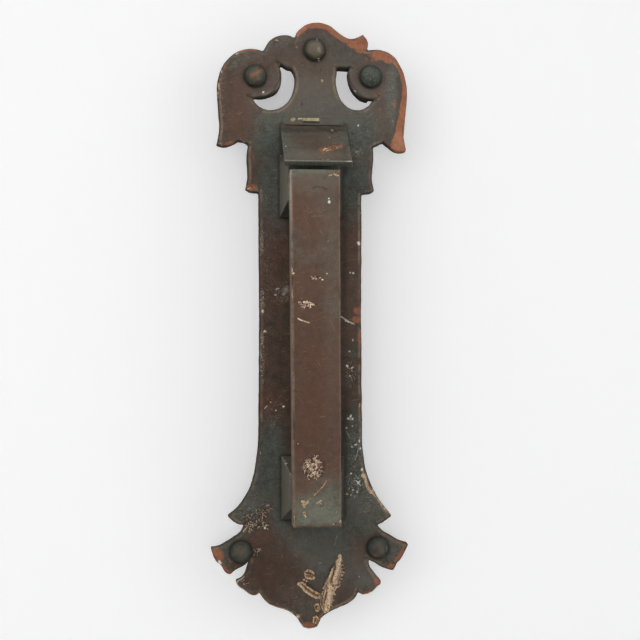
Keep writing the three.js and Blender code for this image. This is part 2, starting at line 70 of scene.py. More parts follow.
# >>> wear marks: placed by hand in mm, X right and Z up on the face seen from the front
# the darkening rows of these tables also hold painted shade: the arm's shadow on the plate, shadow round scrapes, along
# piercings, under the ears and at the hood's top
PLATE_MARKS = {
    "verd": [
        ("e", -20.1, 107.8, 12.56, 20.56, 0, 0.6, 0.95), ("e", -19.6, 77.7, 10.28, 19.41, 0, 0.55, 0.95),
        ("e", 26.2, 111.4, 13.7, 18.27, 0, 0.6, 0.9), ("e", 25.1, 80.5, 10.28, 19.41, 0, 0.7, 0.95), ("e", 5.5, 121.4, 22.84, 9.14, 0, 0.7, 0.55),
        ("e", -3.0, 128.1, 17.13, 7.99, 0, 0.8, 0.4), ("e", -21.8, 56.7, 7.99, 7.99, 0, 0.9, 0.35), ("e", 22.2, 58.8, 4.0, 5.71, 0, 0.9, 0.25),
        ("e", 46.5, 131.9, 3.65, 21.7, 0, 0.6, 0.85), ("e", 48.8, 141.7, 4.57, 9.14, -20, 0.6, 0.7), ("e", 34.9, 142.5, 7.99, 7.99, 0, 0.6, 0.35),
        ("e", 25.0, -15.4, 2.85, 4.0, 0, 0.8, 0.7), ("e", 23.9, -29.1, 4.57, 5.71, 0, 0.8, 0.3), ("e", 26.2, -67.9, 5.71, 21.7, 0, 0.7, 0.92),
        ("e", 26.8, -38.2, 2.85, 6.85, 0, 0.7, 0.3), ("e", 29.6, -94.1, 10.28, 19.41, 0, 0.7, 0.95), ("e", 37.7, -104.5, 7.99, 6.85, 0, 0.7, 0.8),
        ("e", 28.5, -111.2, 14.85, 10.28, 0, 0.7, 0.8), ("e", -21.8, -75.3, 7.99, 20.56, 0, 0.6, 0.95),
        ("e", -27.4, -88.8, 12.56, 14.85, 0, 0.6, 0.9), ("e", -36.5, -102.3, 10.28, 11.42, 0, 0.7, 0.85),
        ("e", -15.0, -106.0, 7.99, 13.7, 0, 0.6, 0.85), ("e", -42.1, -106.7, 6.85, 4.57, 0, 0.7, 0.6), ("e", 5.5, -121.1, 19.41, 11.42, 0, 0.8, 0.9),
        ("e", 14.1, -125.2, 9.14, 14.85, 0, 0.8, 0.95), ("e", 6.7, -122.2, 17.13, 9.14, 0, 0.9, 1.0), ("e", 6.7, -137.0, 7.99, 10.28, 0, 0.9, 0.75),
        ("e", 19.9, -140.6, 10.28, 7.99, 0, 0.9, 0.4), ("e", -50.0, -126.9, 7.99, 7.99, 0, 0.7, 0.8), ("e", -39.9, -116.9, 6.85, 4.57, 0, 0.8, 0.6),
        ("e", 43.5, -127.4, 10.28, 9.14, 0, 0.7, 0.75), ("e", 31.9, -145.4, 6.85, 5.71, 0, 0.8, 0.7), ("e", 1.0, -156.1, 17.13, 10.28, 0, 1.0, 0.35),
        ("e", -3.6, -162.8, 7.99, 4.57, 0, 0.8, 0.4), ("e", -44.5, 149.9, 9.14, 5.71, 0, 0.8, 0.55), ("e", -19.0, 161.9, 10.28, 5.71, 0, 0.9, 0.5),
        ("e", -49.0, 104.5, 3.43, 2.85, 0, 0.9, 0.4), ("e", 5.5, 162.5, 14.85, 5.71, 0, 0.9, 0.35), ("e", 20.5, 152.5, 7.99, 7.99, 0, 0.9, 0.55),
    ],
    "lift": [
        ("e", 51.1, 105.0, 4.0, 7.99, 0, 0.8, 0.9), ("e", 1.0, 116.2, 19.41, 2.85, 0, 1.0, 0.25), ("e", 10.1, -126.3, 4.0, 9.14, 15, 0.9, 0.95),
        ("e", 24.5, 14.3, 4.57, 28.55, 0, 1.0, 0.32), ("e", 4.4, 131.6, 35.4, 14.85, 0, 0.8, 0.9), ("e", 4.4, 151.0, 25.12, 19.41, 0, 0.8, 0.4),
        ("e", 5.5, -126.7, 10.28, 12.56, 0, 0.9, 0.8), ("e", 25.0, -139.6, 9.14, 11.42, 0, 0.9, 0.6), ("e", 1.0, 117.9, 19.41, 5.14, 0, 1.0, 0.6),
        ("e", -5.9, 122.3, 22.84, 9.14, 0, 0.8, 0.7), ("e", 15.9, 123.8, 19.41, 11.42, 0, 0.8, 0.7), ("e", 43.0, 128.9, 11.42, 25.12, 0, 0.8, 0.5),
        ("e", 47.0, 133.6, 3.2, 19.41, 0, 0.7, 0.95), ("e", -40.0, 130.2, 15.99, 28.55, 0, 0.9, 0.15), ("e", -28.7, 154.8, 17.13, 9.14, 0, 0.9, 0.35),
        ("e", 35.5, 146.0, 13.7, 13.7, 0, 0.9, 0.45), ("e", 48.8, 117.6, 5.71, 14.85, 0, 0.7, 0.35), ("e", 14.7, -122.4, 6.85, 12.56, 0, 0.9, 0.7),
        ("e", 26.2, -102.6, 5.71, 5.71, 0, 0.9, 0.6), ("e", -34.2, -98.9, 7.99, 6.85, 0, 0.9, 0.35), ("e", 42.9, -102.9, 5.71, 5.71, 0, 0.9, 0.35),
        ("e", 30.2, -145.4, 5.71, 4.57, 0, 0.8, 0.75), ("e", 5.5, -134.7, 4.57, 5.71, 0, 0.9, 0.6), ("e", -51.1, -126.8, 6.85, 5.71, 0, 0.9, 0.4),
    ],
    "red": [
        ("e", 24.5, 22.8, 5.14, 45.68, 0, 1.0, 0.6), ("e", 25.6, 53.1, 4.0, 14.85, 0, 0.9, 0.8), ("e", -40.0, 121.7, 10.28, 19.41, 0, 0.9, 0.8),
        ("e", 22.8, 42.8, 5.71, 26.27, 0, 0.9, 0.55), ("e", 23.9, 14.3, 6.85, 13.7, 0, 0.9, 0.6), ("e", -19.5, 31.2, 7.99, 34.26, 0, 1.0, 0.25),
        ("e", -20.1, -141.5, 19.41, 19.41, 0, 0.9, 0.35), ("e", -27.4, -116.0, 10.28, 9.14, 0, 0.8, 0.7),
        ("e", -30.8, -110.3, 6.85, 5.14, 0, 0.9, 0.8), ("e", 34.2, -125.5, 7.99, 14.85, 0, 0.9, 0.4), ("e", 28.5, -39.9, 5.71, 10.28, 0, 0.9, 0.3),
        ("e", -24.1, -42.5, 4.57, 9.14, 0, 0.9, 0.45), ("e", 40.1, 122.0, 7.99, 14.85, 0, 0.9, 0.55), ("e", -0.2, 139.5, 22.84, 19.41, 0, 0.9, 0.3),
        ("e", 18.1, -153.7, 13.7, 6.85, 0, 0.9, 0.35), ("s", [(15.3, -150.8), (14.1, -154.7), (13.3, -158.7)], 2.28, 0.9, 1.0),
        ("e", 38.9, 133.4, 4.57, 3.43, 0, 0.8, 0.7), ("e", -34.3, 90.6, 4.57, 13.7, 0, 0.8, 0.4),
    ],
    "copper": [
        ("s", [(-7.3, 165.3), (-5.0, 168.2)], 2.4, 0.6, 0.75),
        ("s", [(-5.0, 168.2), (-1.4, 170.5), (4.1, 171.2), (10.1, 169.8), (14.4, 166.3), (18.8, 163.5), (23.4, 161.2), (26.8, 160.1)], 3.37, 0.5, 1.0),
        ("e", 29.1, 160.2, 4.0, 4.57, 0, 0.3, 1.0), ("e", 23.9, 160.0, 2.85, 1.83, -20, 0.4, 0.9), ("e", 29.7, 164.2, 2.0, 2.85, 0, 0.3, 1.0),
        ("e", 40.1, 154.7, 6.28, 2.97, -3, 0.5, 0.86),
        ("s", [(45.9, 155.1), (49.4, 152.3), (52.0, 148.6), (53.8, 144.7), (54.8, 139.5)], 1.6, 0.4, 1.0),
        ("e", 44.2, 152.2, 3.43, 2.06, -25, 0.4, 0.95), ("s", [(47.1, 152.0), (50.0, 148.6), (52.0, 144.6), (53.7, 140.6)], 1.48, 0.6, 0.9),
        ("e", 32.0, 152.2, 1.94, 1.48, 0, 0.9, 0.42), ("e", 35.5, 151.7, 1.71, 1.14, -20, 0.9, 0.5), ("e", 37.8, 152.1, 1.14, 0.91, 0, 0.7, 0.7),
        ("s", [(53.1, 142.9), (54.2, 138.3), (54.6, 133.8)], 2.63, 0.5, 0.95), ("s", [(54.6, 133.8), (54.6, 128.0)], 3.54, 0.4, 1.0),
        ("s", [(54.2, 126.8), (53.3, 121.1), (52.6, 115.3)], 4.57, 0.3, 1.0), ("s", [(52.3, 115.3), (51.7, 109.6)], 4.68, 0.25, 1.0),
        ("s", [(51.3, 108.4), (51.2, 105.5)], 5.94, 0.25, 1.0), ("s", [(50.7, 103.8), (51.0, 99.2)], 8.56, 0.2, 1.0),
        ("s", [(-41.1, 154.0), (-38.3, 155.5), (-34.9, 156.3), (-30.9, 156.3)], 0.97, 0.6, 0.85), ("e", -49.0, 146.4, 1.48, 2.85, 30, 0.7, 0.5),
        ("e", -45.9, 102.6, 3.14, 1.14, 8, 0.5, 0.75), ("e", -51.0, 103.4, 1.37, 1.48, 0, 0.6, 0.5),
        ("s", [(-5.3, 167.3), (-3.0, 170.2)], 1.37, 0.7, 0.8), ("e", -7.8, 158.2, 0.69, 0.91, 0, 0.5, 0.7),
        ("e", 48.5, 126.7, 1.03, 3.43, 0, 1.0, 0.5), ("e", 47.6, 136.5, 0.91, 1.71, 0, 1.0, 0.4), ("e", 38.9, 131.7, 2.85, 1.48, 20, 1.0, 0.4),
        ("e", 40.1, 123.7, 1.14, 1.14, 0, 1.0, 0.35), ("e", 45.3, 121.5, 0.91, 1.37, 0, 1.0, 0.3), ("e", 27.0, 8.3, 2.4, 2.28, -20, 0.7, 0.8),
        ("e", 26.8, 3.1, 2.51, 2.06, 0, 0.6, 0.95), ("e", 27.6, 15.4, 1.48, 2.28, 0, 1.0, 0.35), ("e", 28.5, 28.0, 0.91, 2.85, 0, 0.9, 0.35),
        ("s", [(28.5, -3.4), (28.5, -13.1)], 1.26, 0.8, 0.65), ("e", 27.9, -7.4, 1.71, 3.43, 0, 0.9, 0.5),
        ("e", -27.6, -43.6, 0.8, 5.14, 0, 0.9, 0.45), ("e", -1.0, -170.3, 3.65, 2.17, 0, 0.5, 0.72), ("e", 38.5, -146.2, 1.94, 2.63, 30, 0.4, 0.85),
        ("s", [(28.5, -152.5), (31.9, -153.4), (34.2, -152.3)], 1.37, 0.5, 0.8), ("e", 46.1, -138.3, 2.74, 2.06, 20, 0.45, 0.88),
        ("s", [(48.7, -134.9), (51.0, -132.7), (53.3, -129.3)], 2.06, 0.6, 0.85), ("e", 52.7, -132.2, 1.94, 1.94, 0, 0.6, 0.7),
        ("e", -52.7, -129.6, 3.2, 4.8, 20, 0.55, 0.86), ("s", [(-50.8, -133.6), (-48.0, -138.4), (-45.5, -140.8)], 2.06, 0.6, 0.85),
        ("s", [(-46.1, -132.0), (-44.6, -134.5)], 0.74, 0.6, 0.8),
        ("s", [(41.7, -119.7), (46.4, -121.8), (51.0, -124.1), (55.0, -125.9)], 1.48, 0.8, 0.45),
        ("s", [(24.4, -155.0), (26.7, -153.3)], 1.14, 0.7, 0.5), ("e", -33.7, 77.9, 3.31, 1.94, 8, 0.6, 0.88),
        ("e", 35.2, 77.8, 1.94, 1.71, 0, 0.9, 0.36), ("e", -5.6, -164.1, 1.26, 0.63, -20, 0.7, 0.6), ("e", 34.3, 95.5, 1.14, 2.28, 0, 0.9, 0.25),
        ("s", [(-24.6, -41.4), (-22.9, -44.2)], 0.69, 0.7, 0.6),
    ],
    "tan": [
        ("s", [(17.0, -131.2), (16.9, -133.2)], 1.94, 0.35, 0.78), ("s", [(16.7, -134.3), (15.8, -137.2)], 3.77, 0.3, 0.78),
        ("s", [(15.0, -140.5), (13.9, -143.9)], 7.19, 0.25, 0.78), ("s", [(13.2, -145.6), (11.8, -148.4)], 7.54, 0.25, 0.78),
        ("s", [(11.0, -150.7), (10.1, -154.1)], 6.4, 0.25, 0.78), ("s", [(9.4, -156.3), (9.1, -159.2)], 5.71, 0.25, 0.78),
        ("s", [(9.0, -160.3), (8.6, -161.8)], 3.08, 0.3, 0.78), ("s", [(17.0, -131.5), (16.6, -134.9)], 2.17, 0.35, 1.0),
        ("s", [(16.5, -134.9), (16.2, -138.9), (15.4, -142.8), (14.5, -146.2)], 3.77, 0.3, 1.0),
        ("s", [(10.8, -146.6), (11.9, -149.3), (13.1, -150.5), (12.4, -152.1)], 0.74, 0.4, 1.0),
        ("s", [(11.8, -149.6), (11.0, -154.1), (10.5, -158.1)], 3.88, 0.3, 1.0),
        ("s", [(12.7, -151.9), (12.4, -155.3), (11.5, -159.2)], 1.6, 0.35, 1.0), ("s", [(9.0, -158.6), (9.0, -161.4)], 1.94, 0.4, 1.0),
        ("s", [(12.5, -138.8), (11.0, -143.3), (9.5, -147.8)], 1.2, 0.4, 1.0), ("s", [(8.9, -149.5), (7.9, -154.0), (6.9, -158.0)], 0.86, 0.4, 1.0),
        ("s", [(13.8, -137.9), (11.8, -143.3)], 0.51, 0.5, 0.9), ("s", [(13.6, -146.8), (12.4, -150.7)], 2.4, 0.4, 1.0),
        ("s", [(14.5, -140.5), (13.6, -144.5)], 1.48, 0.4, 1.0), ("s", [(17.3, -137.4), (19.1, -136.7)], 0.57, 0.4, 1.0),
        ("s", [(17.6, -138.9), (19.4, -138.5)], 0.51, 0.4, 1.0), ("s", [(17.4, -140.6), (19.6, -140.9)], 0.63, 0.4, 1.0),
        ("s", [(17.0, -142.3), (19.1, -142.1)], 0.51, 0.4, 1.0), ("s", [(16.6, -144.0), (18.4, -144.6)], 0.57, 0.4, 1.0),
        ("s", [(16.2, -145.9), (17.6, -146.3)], 0.57, 0.4, 0.95),
        ("s", [(14.9, -147.4), (16.8, -146.5), (17.2, -148.0), (15.8, -149.3)], 0.57, 0.4, 0.95),
        ("s", [(13.3, -151.9), (14.4, -153.6)], 0.51, 0.4, 0.95), ("s", [(12.4, -155.3), (13.6, -156.7)], 0.51, 0.4, 0.95),
        ("s", [(11.6, -158.7), (12.6, -160.0)], 0.51, 0.4, 0.95), ("e", -0.4, -142.1, 2.85, 2.28, -25, 0.25, 0.78),
        ("s", [(-2.9, -140.1), (-1.1, -139.0), (1.2, -139.8), (2.1, -141.3)], 0.74, 0.4, 1.0),
        ("s", [(-1.5, -143.3), (0.7, -144.5), (2.5, -143.7)], 1.14, 0.4, 1.0), ("s", [(-3.2, -141.1), (-1.3, -142.1)], 0.69, 0.5, 0.95),
        ("s", [(-5.5, -146.7), (-1.9, -149.5), (1.5, -152.2), (5.3, -154.3)], 2.97, 0.3, 0.78),
        ("s", [(-6.1, -147.7), (-2.7, -151.0), (0.5, -153.4), (3.7, -155.1), (5.5, -154.5)], 1.2, 0.35, 1.0),
        ("s", [(-5.6, -145.9), (-2.4, -148.1), (1.4, -150.9), (4.4, -153.0)], 0.74, 0.45, 0.93), ("e", -3.6, -144.7, 0.91, 0.63, 20, 0.4, 1.0),
        ("e", -2.0, -145.5, 0.69, 0.57, 0, 0.4, 0.95), ("e", -6.4, -146.9, 0.97, 1.26, 0, 0.4, 0.97), ("e", 4.1, -160.7, 1.71, 1.83, 0, 0.3, 0.78),
        ("s", [(2.3, -159.6), (3.3, -158.6), (4.7, -158.9)], 0.69, 0.4, 1.0), ("s", [(5.3, -160.0), (5.7, -161.6)], 0.63, 0.4, 1.0),
        ("s", [(3.0, -162.5), (4.7, -162.7)], 0.63, 0.4, 1.0), ("e", 3.3, -167.3, 1.71, 2.4, -10, 0.3, 0.76),
        ("s", [(1.9, -166.0), (3.3, -165.7), (4.7, -166.3)], 0.63, 0.4, 1.0), ("s", [(2.0, -166.9), (1.7, -169.0)], 0.57, 0.4, 0.95),
        ("e", -6.7, -165.0, 1.37, 0.74, -25, 0.4, 0.76), ("e", -6.5, -165.5, 0.8, 0.46, -20, 0.4, 1.0),
        ("s", [(29.9, -81.6), (30.8, -85.0)], 0.91, 0.6, 0.7), ("s", [(31.0, -85.6), (32.3, -90.7), (34.8, -94.8)], 2.51, 0.5, 1.0),
        ("s", [(35.6, -95.3), (40.0, -101.3), (45.8, -108.1)], 0.97, 0.5, 0.9), ("s", [(34.8, -93.6), (38.3, -98.2)], 1.26, 0.6, 0.6),
        ("s", [(-27.8, -65.7), (-28.0, -69.6), (-28.6, -73.6)], 0.74, 0.8, 0.45), ("s", [(-42.1, -106.1), (-39.3, -103.4)], 1.71, 0.9, 0.4),
        ("e", 23.0, -22.8, 0.57, 0.46, 0, 0.7, 0.6), ("e", 21.9, -21.1, 0.4, 0.4, 0, 0.7, 0.6), ("e", 24.7, -26.2, 0.46, 0.46, 0, 0.7, 0.6),
        ("e", 21.4, -27.4, 0.46, 0.57, 0, 0.7, 0.5), ("e", 23.6, -29.9, 0.51, 0.46, 0, 0.7, 0.5), ("e", 26.0, -28.0, 0.4, 0.51, 0, 0.7, 0.6),
        ("e", 22.2, -31.9, 0.46, 0.4, 0, 0.7, 0.4), ("e", -25.8, -3.4, 1.48, 1.03, 30, 0.6, 0.55),
        ("s", [(-24.6, -0.0), (-20.4, 0.2)], 1.03, 0.8, 0.4), ("s", [(-24.7, -45.5), (-26.0, -47.0)], 0.91, 0.5, 0.8),
        ("e", -22.7, -43.6, 0.91, 0.8, 0, 0.6, 0.6), ("e", 6.6, 139.3, 0.86, 1.14, 0, 0.5, 0.8), ("e", 6.1, 145.4, 0.57, 1.14, 0, 0.9, 0.35),
        ("e", -4.8, 125.7, 0.8, 2.28, 0, 0.9, 0.3), ("e", -51.8, 135.0, 0.91, 2.85, 0, 0.8, 0.6), ("e", -52.6, 129.9, 0.69, 3.43, 0, 0.8, 0.5),
        ("e", -41.7, 153.7, 1.14, 0.57, 30, 0.6, 0.8), ("e", -50.5, 143.8, 0.69, 1.26, 0, 0.7, 0.7), ("e", -19.6, 161.5, 2.28, 1.26, 20, 0.8, 0.45),
        ("s", [(-34.4, -139.6), (-34.9, -141.2)], 0.69, 0.7, 0.5), ("e", -37.6, -144.3, 0.69, 0.57, 0, 0.6, 0.62),
        ("e", -36.1, -145.9, 0.91, 0.46, 0, 0.6, 0.62), ("s", [(-41.5, -145.6), (-39.6, -143.7)], 0.69, 0.8, 0.5),
        ("e", 28.2, -143.4, 0.57, 0.63, 0, 0.5, 0.7), ("s", [(-26.0, -135.8), (-26.0, -139.2)], 0.57, 0.8, 0.4),
        ("s", [(-11.1, -154.7), (-11.3, -159.3)], 0.69, 0.8, 0.5), ("e", 21.1, -96.3, 0.69, 0.69, 0, 0.5, 0.8),
        ("e", 20.9, -58.6, 0.86, 0.69, 0, 0.5, 0.7), ("e", 28.4, -45.6, 0.69, 1.71, 0, 0.6, 0.6),
        ("s", [(-39.9, -101.7), (-34.2, -91.0), (-31.4, -82.0)], 1.37, 0.9, 0.35), ("s", [(-51.8, 103.9), (-50.1, 101.1)], 0.91, 0.6, 0.6),
        ("s", [(-39.4, 105.0), (-36.6, 103.3)], 0.69, 0.6, 0.6), ("s", [(-37.1, 76.4), (-33.2, 78.1)], 0.8, 0.7, 0.5),
        ("s", [(-27.5, 78.8), (-28.3, 76.5)], 0.57, 0.6, 0.5), ("s", [(-59.5, -133.4), (-56.7, -130.7)], 0.91, 0.7, 0.4),
        ("s", [(28.9, 63.4), (29.1, 48.6)], 0.46, 0.9, 0.4), ("e", 53.4, 111.9, 0.57, 3.43, 0, 0.9, 0.3),
    ],
    "curl": [
        ("c", -32.0, -109.7, 6.28, 5.71, 20, 0.97, 11, 0.62), ("c", -34.8, -114.2, 2.85, 2.85, 8, 1.2, 17, 0.9),
        ("c", -28.0, -106.4, 3.43, 3.43, 8, 1.2, 14, 0.72), ("c", -26.3, -113.7, 3.43, 2.28, 7, 0.97, 18, 0.8),
        ("c", -30.3, -128.3, 2.28, 3.43, 8, 0.69, 12, 0.6), ("c", -24.0, -103.6, 3.43, 2.28, 10, 0.57, 13, 0.6),
        ("c", -37.0, -145.7, 2.28, 1.71, 5, 0.63, 19, 0.6), ("c", 23.0, -25.9, 2.51, 4.28, 12, 0.74, 31, 0.62),
    ],
    "pale": [
        ("e", 27.8, 46.5, 0.86, 1.14, 20, 0.4, 1.0), ("e", 22.8, 29.9, 0.74, 0.46, 0, 0.5, 0.7), ("e", 24.6, 29.7, 0.63, 0.46, 0, 0.5, 0.9),
        ("s", [(17.9, 4.6), (20.5, 2.9), (22.8, 1.5), (25.3, 0.5)], 0.57, 0.6, 0.95), ("s", [(19.9, 2.4), (22.2, 1.7)], 0.74, 0.7, 0.5),
        ("e", -27.2, 7.8, 0.46, 1.14, 0, 0.5, 0.9), ("e", -19.9, 17.0, 0.8, 0.46, 0, 0.5, 0.8), ("e", -18.7, 20.4, 1.71, 0.57, 20, 0.9, 0.5),
        ("e", -13.9, 19.9, 2.28, 3.43, -30, 1.0, 0.35), ("e", -15.0, 17.6, 1.14, 1.71, -30, 0.9, 0.4), ("e", -21.2, 57.8, 0.34, 0.63, -20, 0.8, 0.4),
        ("e", -26.8, 132.1, 0.57, 0.57, 0, 0.6, 0.85), ("e", 27.5, 114.1, 0.51, 0.51, 0, 0.6, 0.95), ("e", 15.2, 114.2, 0.91, 0.91, 0, 0.7, 0.6),
        ("e", 3.9, 163.1, 0.57, 0.46, 0, 0.5, 0.5), ("e", 5.0, 150.8, 0.57, 0.46, 0, 0.5, 0.8), ("e", 25.6, 133.8, 0.91, 0.69, -20, 0.7, 0.5),
        ("e", 45.3, 138.2, 1.6, 13.7, 0, 1.0, 0.16), ("e", 45.4, 145.1, 1.14, 2.28, 0, 1.0, 0.18), ("e", 45.9, 130.1, 1.37, 2.85, -10, 1.0, 0.15),
        ("e", 26.6, 98.9, 1.71, 1.71, 0, 1.0, 0.3), ("e", 48.8, 144.5, 1.14, 2.28, 0, 1.0, 0.18), ("e", 47.6, 117.0, 0.91, 1.03, 0, 0.9, 0.3),
        ("e", 19.9, 163.4, 1.14, 0.57, 0, 0.9, 0.3), ("e", 21.0, -23.4, 0.8, 0.69, 0, 0.5, 1.0), ("e", 22.5, -15.1, 0.57, 0.46, 0, 0.6, 0.7),
        ("e", 23.9, -24.3, 0.57, 0.57, 0, 0.6, 0.7), ("e", 22.7, -29.1, 0.51, 0.51, 0, 0.6, 0.7), ("e", 24.5, -8.6, 0.46, 0.8, 0, 0.6, 0.6),
        ("e", 21.7, -53.4, 0.74, 0.57, 0, 0.6, 1.0), ("e", 23.2, -52.1, 0.51, 0.97, -20, 0.6, 0.9), ("e", 24.2, -53.6, 0.57, 0.69, 0, 0.6, 0.9),
        ("e", 22.9, -54.0, 0.46, 0.34, 0, 0.6, 0.7), ("e", 24.1, -57.7, 0.46, 0.51, 0, 0.6, 0.55),
        ("s", [(20.4, -60.4), (22.7, -63.8)], 0.69, 0.9, 0.4), ("s", [(23.9, -59.9), (26.2, -63.3)], 0.57, 0.9, 0.3),
        ("e", 28.1, -66.2, 0.51, 1.03, -10, 0.5, 0.8), ("e", 26.0, -68.3, 1.03, 0.4, 10, 0.6, 0.8), ("e", 28.7, -70.4, 0.57, 0.57, 0, 0.5, 0.9),
        ("e", 23.8, -69.4, 0.57, 0.46, 0, 0.5, 0.7), ("s", [(27.7, -69.6), (26.8, -73.6), (25.6, -77.3)], 0.46, 0.8, 0.5),
        ("e", 27.3, -87.3, 0.57, 0.57, 0, 0.6, 0.5), ("e", 23.4, -84.6, 0.63, 0.51, 0, 0.5, 0.8), ("e", 29.6, -82.5, 0.63, 0.86, 0, 0.6, 0.8),
        ("s", [(26.0, -88.6), (28.9, -91.6)], 0.46, 0.7, 0.85), ("s", [(28.6, -88.9), (26.8, -90.6)], 0.46, 0.7, 0.8),
        ("e", 27.6, -89.8, 0.63, 0.57, 0, 0.6, 0.9), ("e", 24.5, -94.1, 0.69, 0.46, 0, 0.6, 0.7), ("e", 26.8, -95.2, 0.57, 0.91, 0, 0.6, 0.6),
        ("e", 23.3, -96.9, 0.46, 0.46, 0, 0.6, 0.6), ("e", 25.6, -98.1, 0.4, 0.4, 0, 0.6, 0.6), ("e", 22.2, -93.5, 0.46, 0.46, 0, 0.6, 0.5),
        ("e", -15.3, -46.1, 0.69, 0.57, 0, 0.4, 1.0), ("e", -19.5, -48.4, 0.63, 0.46, 0, 0.6, 0.6), ("e", -13.2, -42.6, 0.74, 0.46, 0, 0.9, 0.35),
        ("e", -16.7, -44.6, 0.4, 0.4, 0, 0.6, 0.35), ("e", -25.8, -114.9, 0.57, 0.69, 0, 0.4, 1.0), ("e", -51.2, -133.9, 0.86, 1.37, 30, 0.4, 0.9),
        ("e", -18.9, -97.4, 0.8, 0.34, 0, 0.6, 0.4), ("e", -24.0, -101.9, 0.69, 0.46, 0, 0.7, 0.5), ("e", 5.8, -135.3, 1.03, 0.57, 0, 0.9, 0.4),
        ("s", [(15.3, -120.1), (13.6, -125.7)], 0.91, 1.0, 0.35), ("e", -37.6, -146.3, 0.8, 0.57, 0, 0.7, 0.5),
        ("e", 29.1, 64.0, 0.46, 0.46, 0, 0.5, 0.5),
    ],
    "spat": [
        ("e", 45.9, 132.4, 2.85, 19.41, 0, 1.0, 0.26), ("e", 26.6, 98.9, 2.85, 2.85, 0, 0.9, 0.4), ("e", 35.5, 115.0, 7.99, 9.14, 0, 1.0, 0.15),
        ("e", 23.0, -26.8, 3.43, 7.99, 0, 0.8, 0.4), ("e", 26.2, -72.4, 4.0, 14.85, 0, 0.8, 0.5), ("e", 25.6, -91.8, 5.71, 6.85, 0, 0.8, 0.75),
        ("e", -15.6, 18.2, 4.57, 4.57, -30, 0.9, 0.6), ("e", 23.9, 66.8, 4.57, 13.7, 0, 1.0, 0.12), ("e", -24.1, 19.8, 4.0, 34.26, 0, 1.0, 0.15),
        ("e", -21.8, -51.0, 5.71, 6.85, 0, 1.0, 0.25), ("e", -33.1, -106.8, 10.28, 7.99, 20, 1.0, 0.35),
        ("e", -36.5, -149.7, 7.99, 4.57, -20, 0.9, 0.2), ("e", -5.9, -156.0, 11.42, 6.85, 0, 1.0, 0.12), ("e", 45.8, -134.3, 6.85, 4.57, 0, 0.9, 0.2),
        ("e", 34.2, -99.9, 5.71, 6.85, 0, 0.9, 0.4), ("e", -5.9, 121.2, 28.55, 5.71, 0, 1.0, 0.1), ("e", -40.0, 150.0, 11.42, 4.57, 20, 0.9, 0.15),
        ("e", -16.2, 163.1, 9.14, 3.43, 10, 0.9, 0.2), ("e", -50.7, 127.1, 2.28, 22.84, 0, 0.9, 0.2),
    ],
    "grime": [
        # dark strokes and spots in and beside the scrapes: painted shadow of their cut edges and pits
        ("s", [(14.5, -137.1), (13.4, -140.7), (12.6, -143.9), (12.1, -146.2)], 0.74, 0.5, 1.0), ("e", 11.5, -139.2, 0.86, 1.03, 0, 0.4, 1.0),
        ("s", [(9.9, -146.7), (8.4, -150.1), (7.4, -154.0), (6.8, -158.0)], 0.63, 0.5, 0.95),
        ("s", [(9.7, -151.8), (8.7, -155.7), (8.3, -159.1)], 0.57, 0.5, 0.85), ("e", 13.1, -148.3, 0.86, 0.86, 0, 0.4, 1.0),
        ("e", 15.8, -148.2, 0.63, 0.69, 0, 0.4, 1.0), ("e", 12.7, -151.2, 0.57, 0.69, 0, 0.5, 0.9),
        ("s", [(17.7, -138.1), (19.3, -137.7)], 0.46, 0.5, 0.9), ("s", [(17.6, -139.8), (19.5, -139.7)], 0.46, 0.5, 0.9),
        ("s", [(17.2, -141.5), (19.3, -141.4)], 0.46, 0.5, 0.9), ("s", [(16.9, -143.2), (18.7, -143.4)], 0.46, 0.5, 0.9),
        ("s", [(16.3, -145.1), (17.9, -145.5)], 0.46, 0.5, 0.9), ("s", [(17.2, -142.3), (16.3, -145.7), (14.9, -148.5)], 0.46, 0.5, 0.6),
        ("s", [(13.4, -135.2), (10.9, -139.3), (9.5, -143.3)], 0.69, 0.6, 0.7),
        ("s", [(-4.8, -147.3), (-2.2, -149.6), (1.4, -152.3), (4.6, -154.1)], 0.63, 0.5, 1.0),
        ("s", [(-4.4, -145.3), (0.1, -147.7), (5.1, -152.3)], 0.74, 0.5, 0.95), ("s", [(-2.4, -140.5), (0.1, -141.3), (2.0, -142.2)], 0.8, 0.4, 1.0),
        ("s", [(-2.2, -142.2), (1.2, -142.9)], 0.51, 0.5, 0.8), ("e", 3.4, -160.6, 0.69, 1.14, 0, 0.4, 1.0),
        ("s", [(2.9, -167.2), (2.5, -168.9)], 0.8, 0.4, 1.0), ("e", 4.2, -168.1, 0.57, 0.8, 0, 0.5, 0.7),
        ("s", [(32.5, -87.3), (35.4, -93.1)], 0.69, 0.7, 0.6), ("e", 20.4, -153.2, 9.14, 6.85, 0, 1.0, 0.2),
        ("e", -24.0, -140.9, 12.56, 14.85, 0, 1.0, 0.4), ("e", -30.8, -110.8, 7.42, 6.28, 0, 1.0, 0.3), ("e", 24.5, 109.3, 0.69, 0.86, 0, 0.4, 0.9),
        # strokes along the piercings' edges: painted shade where their inner walls are in shadow
        ("s", [(-19.0, 149.4), (-16.2, 148.3)], 1.37, 0.7, 0.8),
        ("s", [(-36.0, 130.3), (-30.9, 128.1), (-25.3, 129.3), (-20.7, 133.4), (-17.3, 139.2), (-16.7, 144.9)], 1.14, 0.8, 0.8),
        ("s", [(14.7, 146.7), (18.7, 144.7), (22.8, 147.1)], 1.48, 0.5, 0.95),
        ("s", [(22.2, 143.4), (23.4, 137.7), (26.8, 133.2), (30.8, 129.8), (37.8, 128.8)], 1.26, 0.8, 0.75),
        # the two long strips beside the arm's right edge, and the stroke that carries them lower, are the arm's painted
        # shadow on the plate
        ("e", 19.4, 37.1, 1.48, 34.26, 0, 0.8, 0.5), ("e", 19.6, -59.8, 1.71, 34.26, 0, 0.8, 0.55),
